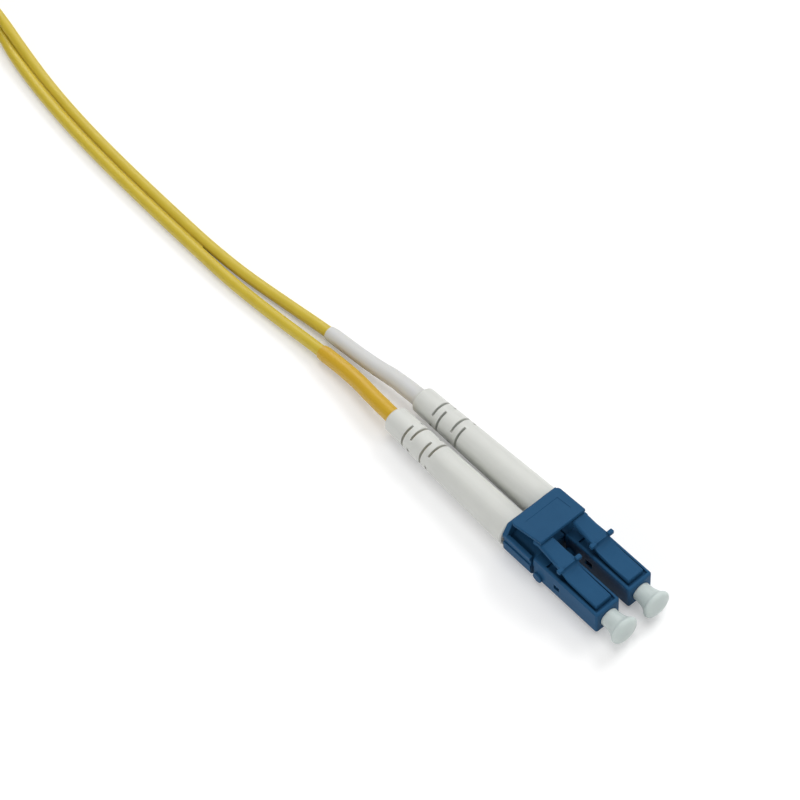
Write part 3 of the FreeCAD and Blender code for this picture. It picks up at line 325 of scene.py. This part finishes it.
# A material with one surface shader.
class Finish:
    def __init__(self, name, **surface):
        self.material = bpy.data.materials.new(name)
        self.material.use_nodes = True
        self.tree = self.material.node_tree
        self.tree.nodes.clear()
        self.output = self.tree.nodes.new("ShaderNodeOutputMaterial")
        self.shader = self.tree.nodes.new("ShaderNodeBsdfPrincipled")
        self.tree.links.new(self.shader.outputs[0], self.output.inputs[0])
        for socket, value in surface.items():
            self.shader.inputs[socket.replace("_", " ")].default_value = value

    def node(self, kind, settings=None, sockets=None, out=0):
        made = self.tree.nodes.new("ShaderNode" + kind)
        for name, value in (settings or {}).items():
            setattr(made, name, value)
        for name, value in (sockets or {}).items():
            self.feed(made.inputs[name], value)
        return Wire(self, made.outputs[out])

    def feed(self, socket, value):
        if isinstance(value, Wire):
            self.tree.links.new(value.socket, socket)
        else:
            socket.default_value = value

    def surface(self, **sockets):
        for name, value in sockets.items():
            self.feed(self.shader.inputs[name.replace("_", " ")], value)

    def place(self):
        return self.node("TexCoord", out="Object")

    def noise(self, vector, scale, detail=3.0, rough=0.5):
        sockets = {"Vector": vector, "Scale": scale, "Detail": detail, "Roughness": rough}
        return self.node("TexNoise", {}, sockets)

    def mix(self, factor, a, b):
        return self.node("Mix", {"data_type": "RGBA"}, {0: factor, 6: a, 7: b}, out=2)

    def bump(self, height, strength, distance):
        return self.node("Bump", {}, {"Height": height, "Strength": strength, "Distance": distance})


def rgb(*value):
    return (*value, 1.0)


# Moulded plastic: slight clouding of the colour, and a fine grain that scatters the gloss.
def mouldedPlastic(name, colour, darker, rough, grain, bump, **more):
    f = Finish(name, Roughness=rough, **more)
    at = f.place()
    cloud = f.noise(at, 260, 3)
    fine = f.noise(at, grain, 2)
    f.surface(
        Base_Color=f.mix(cloud, darker, colour),
        Roughness=rough - 0.06 + fine * 0.12,
        Normal=f.bump(fine * 0.7 + cloud * 0.3, bump, 0.00004),
    )
    return f.material


bluePlastic = mouldedPlastic(
    "bluePlastic", rgb(0.021, 0.090, 0.192), rgb(0.015, 0.073, 0.162), 0.45, 5200, 0.25,
    Specular_IOR_Level=0.07,
)
bootPlastic = mouldedPlastic(
    "bootPlastic", rgb(0.70, 0.71, 0.67), rgb(0.62, 0.63, 0.60), 0.47, 3600, 0.22,
    Subsurface_Weight=0.12, Subsurface_Radius=(0.001, 0.001, 0.0009), Subsurface_Scale=0.6,
)
capPlastic = mouldedPlastic(
    "capPlastic", rgb(0.60, 0.66, 0.645), rgb(0.53, 0.60, 0.585), 0.38, 3000, 0.15,
    Subsurface_Weight=0.45, Subsurface_Radius=(0.0012, 0.0013, 0.0012), Subsurface_Scale=1.0,
    Specular_IOR_Level=0.4,
)
ceramic = mouldedPlastic("ceramic", rgb(0.86, 0.85, 0.81), rgb(0.82, 0.81, 0.77), 0.18, 9000, 0.05, IOR=2.1)


# Turned and plated metal: fine rings round the plug's axis and a slight stain.
def turnedMetal(name, colour, rough):
    f = Finish(name, Metallic=1.0, Roughness=rough)
    at = f.place()
    rings = f.node("TexWave", {"bands_direction": "X"}, {"Vector": at, "Scale": 2600, "Distortion": 1.5})
    stain = f.noise(at, 700)
    f.surface(
        Base_Color=f.mix(stain, rgb(*(c * 0.86 for c in colour)), rgb(*colour)),
        Roughness=rough - 0.05 + rings * 0.1,
        Normal=f.bump(rings, 0.15, 0.00002),
    )
    return f.material


platedMetal = turnedMetal("platedMetal", (0.62, 0.6, 0.55), 0.3)
springSteel = turnedMetal("springSteel", (0.55, 0.55, 0.56), 0.25)


# Extruded jacket: faint lines along the cord, soft clouding and a waxy gloss. The map runs in metres.
def extrudedJacket(name, colour, darker, rough):
    f = Finish(name, Roughness=rough, Subsurface_Weight=0.08, Subsurface_Radius=(0.001, 0.0008, 0.0003))
    along = f.node("UVMap", {"uv_map": "along"})
    stretched = f.node("Mapping", {}, {"Vector": along, "Scale": (60, 26, 1)})
    lines = f.noise(stretched, 1.0, 2)
    cloud = f.noise(f.place(), 420, 3)
    f.surface(
        Base_Color=f.mix(cloud * 0.75 + lines * 0.25, darker, colour),
        Roughness=rough - 0.05 + lines * 0.1,
        Normal=f.bump(lines * 0.6 + cloud * 0.4, 0.22, 0.00005),
    )
    return f.material


cordJacket = extrudedJacket("cordJacket", rgb(0.65, 0.505, 0.051), rgb(0.545, 0.41, 0.034), 0.42)
orangeSleeve = extrudedJacket("orangeSleeve", rgb(0.65, 0.41, 0.026), rgb(0.565, 0.345, 0.019), 0.4)
whiteSleeve = extrudedJacket("whiteSleeve", rgb(0.655, 0.655, 0.64), rgb(0.60, 0.605, 0.59), 0.45)


# A dark hook and loop strap: short loops over a close weave.
def wovenTie(name):
    f = Finish(name, Roughness=0.9, Sheen_Weight=0.4, Sheen_Roughness=0.5)
    at = f.place()
    weave = f.node("TexVoronoi", {"feature": "F1"}, {"Vector": at, "Scale": 2600})
    loops = f.noise(at, 6200, 4, 0.7)
    f.surface(
        Base_Color=f.mix(loops * 0.7 + weave * 0.3, rgb(0.006, 0.006, 0.008), rgb(0.035, 0.036, 0.04)),
        Normal=f.bump(loops * 0.5 + weave * 0.5, 0.9, 0.00015),
    )
    return f.material


tieFabric = wovenTie("tieFabric")
print("finishes made")

# The cords
jackets = {}
for side in (-1, 1):
    control = np.vstack([
        np.array(legNear[side]), pairPoints(side), hankPoints(side), lastTurnPoints(side), farLegPoints(side),
    ])
    jackets[side] = splineThrough(control)
joinAt = int(np.argmax(jackets[-1][:, 0] <= pairLine[0][0] * mm))
splitAt = len(jackets[-1]) - int(np.argmax(jackets[-1][::-1, 0] <= farEnd["split"] * mm))
names = {-1: ("cordLegRightNear", "cordLegLeftFar"), 1: ("cordLegLeftNear", "cordLegRightFar")}
nodes = {-1: ("leg_right_near", "leg_left_far"), 1: ("leg_left_near", "leg_right_far")}
legs = {}
for side, line in jackets.items():
    for which, part in ((0, line[:joinAt + 1]), (1, line[splitAt:])):
        leg = addMesh(names[side][which], [tubeGrid(part, cord["radius"] * mm, cord["ring"])], cordJacket)
        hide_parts(nodes[side][which])
        legs[side, which] = (leg, part)
right, left = jackets[-1][joinAt:splitAt + 1], jackets[1][joinAt:splitAt + 1]
zipCord = addMesh(
    "zipCord",
    [
        tubeGrid(right, cord["radius"] * mm, cord["ring"]),
        tubeGrid(left, cord["radius"] * mm, cord["ring"]),
        webGrid(right, left),
    ],
    cordJacket,
)
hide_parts("zip_run_near", "zip_hank", "zip_run_far")
print("cords laid, pair of", round(lengthAlong((right + left) / 2)[-1], 3), "m")

# Shrunk sleeves: a little fuller in the middle, and drawn down to the jacket at the end that shows.
sleeve = {
    "outer": 1.3, "inner": 1.02, "ring": 28, "lip": 0.5, "drawn": 0.1, "ripple": 0.015,
    "mouth": 12.5, "fade": 9.0,
}


# The first stretch of a line, and a radius that swells and ends in a rounded lip.
def sleeveOn(line, length, fuller):
    gone = lengthAlong(line)
    stops = np.linspace(0, length, int(length / (0.4 * mm)))
    path = np.stack([np.interp(stops, gone, line[:, axis]) for axis in range(3)], 1)
    left = (stops[-1] - stops) / mm
    swell = sleeve["ripple"] * np.sin(stops / mm * 1.7) * np.sin(stops / mm * 0.45)
    past = stops / mm - sleeve["mouth"]
    swell += fuller * np.clip(past / 0.3 + 1, 0, 1) * np.exp(-(past / sleeve["fade"]) ** 2)
    lip = sleeve["drawn"] * np.exp(-(left / sleeve["lip"]) ** 2)
    return path, (sleeve["outer"] + swell - lip) * mm


sleeves = {
    "sleeveOrangeNear": (jackets[-1], 31.3, 0.03, orangeSleeve, "orange_sleeve", "sleeve_orange_near"),
    "sleeveWhiteNear": (jackets[1], 33.6, 0.2, whiteSleeve, "white_sleeve", "sleeve_white_near"),
    "sleeveOrangeFar": (jackets[-1][::-1], 26.0, 0.03, orangeSleeve, "orange_sleeve", "sleeve_orange_far"),
    "sleeveWhiteFar": (jackets[1][::-1], 26.0, 0.2, whiteSleeve, "white_sleeve", "sleeve_white_far"),
}
for name, (line, length, fuller, finish, slot, node) in sleeves.items():
    path, outer = sleeveOn(line, length * mm, fuller)
    made = addMesh(name, [sleeveGrid(path, outer, sleeve["inner"] * mm, sleeve["ring"])], finish)
    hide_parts(node)
print("sleeves on")

# Strap: one band wound a little over once round the hank's waist, its end laid on its start.
strap = {
    "wide": 7.6, "thick": 0.38, "corner": 1.2, "clear": 0.05, "lap": 9.0, "rise": 4.0,
    "start": 5.0, "edge": 0.12, "step": 0.3,
}


# Place and outward direction at each distance round a rounded rectangle, from the middle of its top.
def roundedLoop(gone, halfWide, halfHigh, radius):
    flatWide, flatHigh, bend = halfWide - radius, halfHigh - radius, radius * np.pi / 2
    stretches = [flatWide, bend, 2 * flatHigh, bend, 2 * flatWide, bend, 2 * flatHigh, bend, flatWide]
    ends = np.cumsum([0] + stretches)
    gone = np.mod(gone, ends[-1])
    part = np.clip(np.searchsorted(ends, gone, "right") - 1, 0, len(stretches) - 1)
    share = (gone - ends[part]) / np.array(stretches)[part]
    turn = (part // 2 + (part % 2) * share) * np.pi / 2
    corner = (part + 1) // 2 % 4  # the corner that a stretch leaves or turns about
    side = np.array([(1, 1), (1, -1), (-1, -1), (-1, 1)])
    middle = np.array([(flatWide, flatHigh)]) * side[(part // 2) % 4]
    facing = np.stack([np.sin(turn), np.cos(turn)], 1)
    onward = np.stack([np.cos(turn), -np.sin(turn)], 1)
    lengths = np.array(stretches)[part]
    fromCorner = np.where(part == 0, share * lengths - flatWide, (share - 1) * lengths)
    straight = middle + radius * facing + onward * fromCorner[:, None]
    last = part == len(stretches) - 1
    topLeft = np.array([-flatWide, flatHigh])
    straight[last] = topLeft + radius * facing[last] + onward[last] * (share * lengths)[last, None]
    bent = middle + radius * facing
    return np.where((part % 2 == 1)[:, None], bent, straight), facing


# Each ring is the band's own section, a thin rectangle with softened edges, set square to the loop.
def strapGrid(c):
    high = hank["layer"] + 2 * (cord["halfPair"] + cord["radius"])
    halfWide = hank["lanes"][0] - hank["waist"] + cord["radius"] + c["clear"]
    halfHigh = high / 2 + c["clear"]
    around = 4 * (halfWide + halfHigh) - (8 - 2 * np.pi) * c["corner"]
    gone = np.arange(0, around + c["lap"], c["step"])
    place, facing = roundedLoop(gone + c["start"], halfWide, halfHigh, c["corner"])
    over = np.clip((gone - around + c["rise"]) / c["rise"], 0, 1)
    out = over ** 2 * (3 - 2 * over) * (c["thick"] + 0.02)
    ends = np.minimum(gone, gone[-1] - gone)
    thin = np.clip(0.35 + ends / 0.5, 0, 1)
    halfAcross, edge = c["wide"] / 2, c["edge"]
    section = np.array([
        (-halfAcross, 0.3), (-halfAcross + edge, 0.0), (halfAcross - edge, 0.0), (halfAcross, 0.3),
        (halfAcross, 0.7), (halfAcross - edge, 1.0), (-halfAcross + edge, 1.0), (-halfAcross, 0.7),
    ])
    height = out[:, None] + section[None, :, 1] * (c["thick"] * thin)[:, None]
    middle = (hank["right"] - hank["run"] / 2, hank["middle"], hank["lift"] + high / 2)
    grid = np.stack([
        np.broadcast_to(middle[0] + section[None, :, 0], height.shape),
        middle[1] + place[:, :1] + facing[:, :1] * height,
        middle[2] + place[:, 1:] + facing[:, 1:] * height,
    ], -1) * mm
    uv = np.stack(np.broadcast_arrays(gone[:, None] * mm, (section[:, 0] * mm)[None, :]), -1)
    return grid, False, uv


hankStrap = addMesh("hankStrap", [strapGrid(strap)], tieFabric)
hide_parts("hank_tie")
print("strap wound")

# Dust caps
dustCap = {
    "height": 2.9, "bore": 0.6595, "boreEnd": 2.3, "tube": 1.15, "tubeEnd": -2.2, "face": 0.03,
    "neck": 1.47, "flangeStart": 2.93, "flange": 2.33, "flangeEnd": 3.42, "reach": 4.18,
    "flare": 4.6, "round": 0.55, "crown": 4.6, "ring": 72,
}
halfPitch = farEnd["pitch"] / 2
plugs = {  # the front of each housing, along and across
    "left_near": (21.66, halfPitch), "right_near": (21.66, -halfPitch),
    "left_far": (farEnd["x"], farEnd["y"] + halfPitch), "right_far": (farEnd["x"], farEnd["y"] - halfPitch),
}


# Points of the arc of a given radius from a to b; bulge is the hand it swells to.
def arcBetween(a, b, radius, count, bulge):
    a, b = np.array(a), np.array(b)
    chord = b - a
    size = np.linalg.norm(chord)
    aside = np.array([chord[1], -chord[0]]) / size * bulge
    centre = (a + b) / 2 - aside * math.sqrt(radius ** 2 - (size / 2) ** 2)
    first = math.atan2(*(a - centre)[::-1])
    turn = (math.atan2(*(b - centre)[::-1]) - first + math.pi) % (2 * math.pi) - math.pi
    angle = first + np.linspace(0, turn, count)
    return centre + radius * np.stack([np.cos(angle), np.sin(angle)], 1)


# From the bottom of the bore, out over the tube, the neck's flare and the rim, to the crown.
def capProfile(c):
    rim = c["flange"] - c["round"]
    turn = np.radians(np.linspace(-62, 68, 14))
    middle = (c["flangeStart"] + c["flangeEnd"]) / 2
    rimArc = np.stack([middle + c["round"] * np.sin(turn), rim + c["round"] * np.cos(turn)], 1)
    neckEnd = (c["face"] + 0.12, c["neck"] + 0.01)
    end = c["tubeEnd"]
    return np.vstack([
        [(c["boreEnd"], 0.02), (c["boreEnd"], c["bore"] * 0.6), (c["boreEnd"] - 0.05, c["bore"])],
        [(x, c["bore"]) for x in np.linspace(c["boreEnd"] - 0.3, end + 0.2, 8)],
        [(end + 0.06, c["bore"] + 0.03), (end, c["bore"] + 0.1)],
        [(end, c["tube"] - 0.1), (end + 0.08, c["tube"])],
        [(x, c["tube"]) for x in np.linspace(end + 0.3, 0.0, 5)],
        [(c["face"], c["tube"] + 0.02), (c["face"], c["neck"] - 0.05), (c["face"] + 0.05, c["neck"])],
        arcBetween(neckEnd, rimArc[0] - (0.05, 0.03), c["flare"], 20, 1),
        rimArc,
        arcBetween(rimArc[-1] + (0.04, -0.08), (c["reach"], 0.02), c["crown"], 16, -1),
    ])


# Point = middle + (x, r * cos a, r * sin a), for a once round.
def turnedGrid(profile, middle, ring):
    a = np.linspace(0, 2 * np.pi, ring, endpoint=False)
    x, r = (profile * mm).T
    grid = np.stack([
        np.broadcast_to(x[:, None], (len(x), ring)), r[:, None] * np.cos(a), r[:, None] * np.sin(a),
    ], -1) + np.array(middle) * mm
    gone = np.concatenate([[0], np.cumsum(np.hypot(np.diff(x), np.diff(r)))])
    uv = np.stack(np.broadcast_arrays(gone[:, None], (a / (2 * np.pi))[None, :]), -1)
    return grid[:, ::-1], False, uv[:, ::-1]


for plug, (x, y) in plugs.items():
    name = "dustCap" + "".join(word.title() for word in plug.split("_"))
    made = addMesh(
        name, [turnedGrid(capProfile(dustCap), (x, y, dustCap["height"]), dustCap["ring"])],
        capPlastic, "dust_cap_" + plug,
    )
    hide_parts("dust_cap_" + plug)
print("dust caps turned")

# Moulded parts: the frame's own solids, merged and given the small rounds that moulding leaves.
rounds = {"housing": 0.3, "latch": 0.18, "rear_body": 0.2, "clip": 0.3, "trigger": 0.25, "boot": 0.06}
sharp = math.radians(35)
fit = {
    "level": 1.0,  # degrees up to which neighbouring faces are one
    "corner": 0.64,  # radians of turn that part a corner from an edge that runs on
    "straight": 0.03,
    "beside": 0.4,  # share of a crossing edge that a round may take
    "within": 0.35,  # share of twice an arc's radius
    "least": 0.03,  # mm, below which an edge stays as it is
    "crisp": 0.35,  # share of the round on hollow edges and those that face down
    "widen": 0.35,  # mm that a round may gain for each mm along its edge
    "passes": 24,
    "fold": 0.002,  # square mm, twice the smallest fold looked for
    "near": 1.3,  # widths of the round within which a fold eases it
    "ease": [0.75] * 6 + [0.0] * 4,
    "weld": 0.012,  # mm
}


# Each sharp edge gets the whole round, or as much of it as the edges that meet it have room for.
def roundEdges(work, width):
    weight = work.edges.layers.float.new("bevel_weight_edge")
    for edge in work.edges:
        if len(edge.link_faces) != 2 or edge.calc_face_angle(0) < sharp:
            continue
        along = (edge.verts[1].co - edge.verts[0].co).normalized()
        room = width
        for vert in edge.verts:
            for other in vert.link_edges:
                away = (other.verts[1].co - other.verts[0].co).normalized()
                turn = math.acos(min(1.0, abs(away.dot(along))))
                if other != edge and turn > fit["corner"]:
                    room = min(room, fit["beside"] * other.calc_length())
                elif other != edge and turn > fit["straight"] and other.calc_face_angle(0) >= sharp:
                    room = min(room, fit["within"] * (edge.calc_length() + other.calc_length()) / turn)
        crisp = not edge.is_convex or sum(face.normal.z for face in edge.link_faces) < -0.1
        if room > fit["least"] * mm:
            edge[weight] = room / width * (fit["crisp"] if crisp else 1.0)


# Where the outline of a flat face crosses itself, in mm in the face's own plane.
def crossings(corners, normal):
    across = np.cross(normal, np.eye(3)[np.argmin(np.abs(normal))])
    across /= np.linalg.norm(across)
    flat = corners @ np.stack([across, np.cross(normal, across)], 1)
    step = np.roll(flat, -1, 0) - flat
    apart = flat[None] - flat[:, None]
    area = step[:, None, 0] * step[None, :, 1] - step[:, None, 1] * step[None, :, 0]
    area[np.abs(area) < 1e-9] = np.inf
    first = (apart[..., 0] * step[None, :, 1] - apart[..., 1] * step[None, :, 0]) / area
    second = (apart[..., 0] * step[:, None, 1] - apart[..., 1] * step[:, None, 0]) / area
    both = (first > 1e-4) & (first < 1 - 1e-4) & (second > 1e-4) & (second < 1 - 1e-4)
    along = np.roll(corners, -1, 0) - corners
    return [corners[i] + first[i, j] * along[i] for i, j in zip(*np.nonzero(both)) if i < j]


# The places, in mm, where a round too wide for its corner has folded the mesh: triangles that face
# against their own shading normals, and for a larger face the crossings of its outline.
def foldedPlaces(made):
    shape = made.evaluated_get(bpy.context.evaluated_depsgraph_get()).to_mesh()
    spots = np.empty(len(shape.vertices) * 3, dtype=np.float32)
    shape.vertices.foreach_get("co", spots)
    spots = spots.reshape(-1, 3) / mm
    shading = np.empty(len(shape.loops) * 3, dtype=np.float32)
    shape.corner_normals.foreach_get("vector", shading)
    loops = np.empty(len(shape.loop_triangles) * 3, dtype=np.int32)
    shape.loop_triangles.foreach_get("loops", loops)
    owner = np.empty(len(shape.loop_triangles), dtype=np.int32)
    shape.loop_triangles.foreach_get("polygon_index", owner)
    vertex = np.empty(len(shape.loops), dtype=np.int32)
    shape.loops.foreach_get("vertex_index", vertex)
    three = spots[vertex[loops]].reshape(-1, 3, 3)
    facing = np.cross(three[:, 1] - three[:, 0], three[:, 2] - three[:, 0])
    shaded = shading.reshape(-1, 3)[loops].reshape(-1, 3, 3).sum(1)
    turned = ((facing * shaded).sum(1) < 0) & (np.linalg.norm(facing, axis=1) > fit["fold"])
    places = []
    for index in np.unique(owner[turned]):
        face = shape.polygons[int(index)]
        corners = spots[list(face.vertices)]
        places += crossings(corners, np.array(face.normal)) or [corners.mean(0)]
    return np.array(places)


# Pairs of rounded edges that run on into each other.
def runsOn(mesh, weights, way):
    meeting = {}
    for edge in mesh.edges:
        if weights[edge.index] > 0:
            for vertex in edge.vertices:
                meeting.setdefault(vertex, []).append(edge.index)
    pairs = [
        (a, b) for group in meeting.values() for a in group for b in group
        if a != b and abs(way[a] @ way[b]) > 0.8
    ]
    return np.array(pairs, dtype=int).reshape(-1, 2)


# Lets a round widen only slowly from one edge to the next, and makes the rounds near each fold
# smaller until none is left.
def easeFolds(made, width):
    mesh = made.data
    ends = np.array([[mesh.vertices[v].co for v in edge.vertices] for edge in mesh.edges]) / mm
    start, along = ends[:, 0], ends[:, 1] - ends[:, 0]
    length = np.maximum(np.linalg.norm(along, axis=1), 1e-6)
    raw = np.empty(len(mesh.edges), dtype=np.float32)
    layer = mesh.attributes["bevel_weight_edge"].data
    layer.foreach_get("value", raw)
    weights = raw.astype(float)
    pairs = runsOn(mesh, weights, along / length[:, None])
    for ease in fit["ease"]:
        for _ in range(fit["passes"]):
            allowed = weights[pairs[:, 1]] + fit["widen"] * length[pairs[:, 0]] / width
            np.minimum.at(weights, pairs[:, 0], allowed)
        layer.foreach_set("value", weights.astype(np.float32))
        mesh.update()
        places = foldedPlaces(made)
        if len(places) == 0:
            break
        for place in places:
            share = ((place - start) * along).sum(1) / length ** 2
            nearest = start + np.clip(share, 0, 1)[:, None] * along
            weights[np.linalg.norm(place - nearest, axis=1) < fit["near"] * width] *= ease
    return len(places)


def moulded(node, width, finish):
    source = frame["nodes"][node]
    mesh = source.data.copy()
    made = bpy.data.objects.new(node + "_moulded", mesh)
    bpy.context.scene.collection.objects.link(made)
    work = bmesh.new()
    work.from_mesh(mesh)
    bmesh.ops.remove_doubles(work, verts=work.verts, dist=1e-6)
    bmesh.ops.dissolve_limit(
        work, angle_limit=math.radians(fit["level"]), verts=work.verts, edges=work.edges, delimit={"NORMAL"}
    )
    roundEdges(work, width * mm)
    work.to_mesh(mesh)
    work.free()
    mesh.materials.clear()
    mesh.materials.append(finish)
    mesh.polygons.foreach_set("use_smooth", [True] * len(mesh.polygons))
    mesh.set_sharp_from_angle(angle=sharp)
    bevel = made.modifiers.new("round", "BEVEL")
    bevel.width = width * mm
    bevel.segments = 3
    bevel.limit_method = "WEIGHT"
    bevel.use_clamp_overlap = False
    weld = made.modifiers.new("weld", "WELD")
    weld.merge_threshold = fit["weld"] * mm
    flat = made.modifiers.new("flat", "WEIGHTED_NORMAL")  # keeps the broad faces flat beside their rounds
    flat.keep_sharp = True
    left = easeFolds(made, width)
    if left:
        print(node, "keeps", left, "folds")
    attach(made, source["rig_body"])
    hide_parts(node)


for end in ("near", "far"):
    for kind in ("clip", "trigger"):
        moulded(f"{kind}_{end}", rounds[kind], bluePlastic)
    for plug in (f"left_{end}", f"right_{end}"):
        for kind in ("housing", "latch", "rear_body"):
            moulded(f"{kind}_{plug}", rounds[kind], bluePlastic)
        moulded(f"boot_{plug}", rounds["boot"], bootPlastic)
print("moulded parts rounded")

# What stays as the frame has it
kept = {
    "ferrule_left": ceramic, "ferrule_right": ceramic, "ferrule_flange": platedMetal,
    "crimp_sleeve": platedMetal, "spring": springSteel, "stripped_end": cordJacket,
}
for node, thing in frame["nodes"].items():
    for start, finish in kept.items():
        if node.startswith(start):
            thing.data.materials.clear()
            thing.data.materials.append(finish)

# The length of each cord leg in metres, which nothing further on uses
for (side, which), (leg, line) in legs.items():
    length = 0.0625 if which == 0 else 0.0348

# Floor and light: broad lamps all round, so that the shadows stay soft and short
studio = {
    "floor": (0.8, 0.8, 0.8),
    "floorHalf": 6.0,
    "floorGlow": 0.28,  # seen but lighting nothing, so the paper is white and keeps the shadow
    "world": 0.07,
    "aim": (-0.03, 0.0, 0.0),
    "lamps": {  # place and width in metres, watts
        "back": ((-0.15, 0.9, 0.8), 0.5, 4.8),
        "cordSide": ((-0.85, 0.5, 0.6), 0.8, 3.9),
        "plugSide": ((0.9, 0.45, 0.5), 0.8, 4.1),
        "front": ((0.05, -1.0, 0.4), 0.8, 5.1),
        "above": ((0.0, 0.1, 1.15), 0.8, 5.0),
    },
}


def makeFloor(s):
    half = s["floorHalf"]
    mesh = bpy.data.meshes.new("floor")
    corners = [(-half, -half, 0), (half, -half, 0), (half, half, 0), (-half, half, 0)]
    mesh.from_pydata(corners, [], [(0, 1, 2, 3)])
    floor = bpy.data.objects.new("floor", mesh)
    floor.location.z = -0.00002
    bpy.context.scene.collection.objects.link(floor)
    paper = Finish("floorPaper", Roughness=0.9, Base_Color=rgb(*s["floor"]))
    plain = Wire(paper, paper.shader.outputs[0])
    glow = paper.node("Emission", {}, {"Color": rgb(1, 1, 1), "Strength": s["floorGlow"]})
    bright = paper.node("AddShader", {}, {0: plain, 1: glow})
    seen = sum(paper.node("LightPath", out=f"Is {ray} Ray") for ray in ("Camera", "Glossy", "Transmission"))
    chosen = paper.node("MixShader", {}, {0: seen, 1: plain, 2: bright})
    paper.tree.links.new(chosen.socket, paper.output.inputs[0])
    mesh.materials.append(paper.material)


def makeLight(s):
    for name, (place, width, power) in s["lamps"].items():
        data = bpy.data.lights.new(name, "AREA")
        data.shape = "DISK"
        data.size = width
        data.energy = power
        lamp = bpy.data.objects.new(name, data)
        lamp.location = place
        lamp.rotation_mode = "QUATERNION"
        lamp.rotation_quaternion = (Vector(s["aim"]) - Vector(place)).to_track_quat("-Z", "Y")
        bpy.context.scene.collection.objects.link(lamp)
    world = bpy.data.worlds.new("studio")
    world.use_nodes = True
    background = world.node_tree.nodes["Background"]
    background.inputs["Color"].default_value = rgb(1, 1, 1)
    background.inputs["Strength"].default_value = s["world"]
    bpy.context.scene.world = world
    bpy.context.scene.view_settings.view_transform = "Standard"


makeFloor(studio)
makeLight(studio)
print("studio lit")
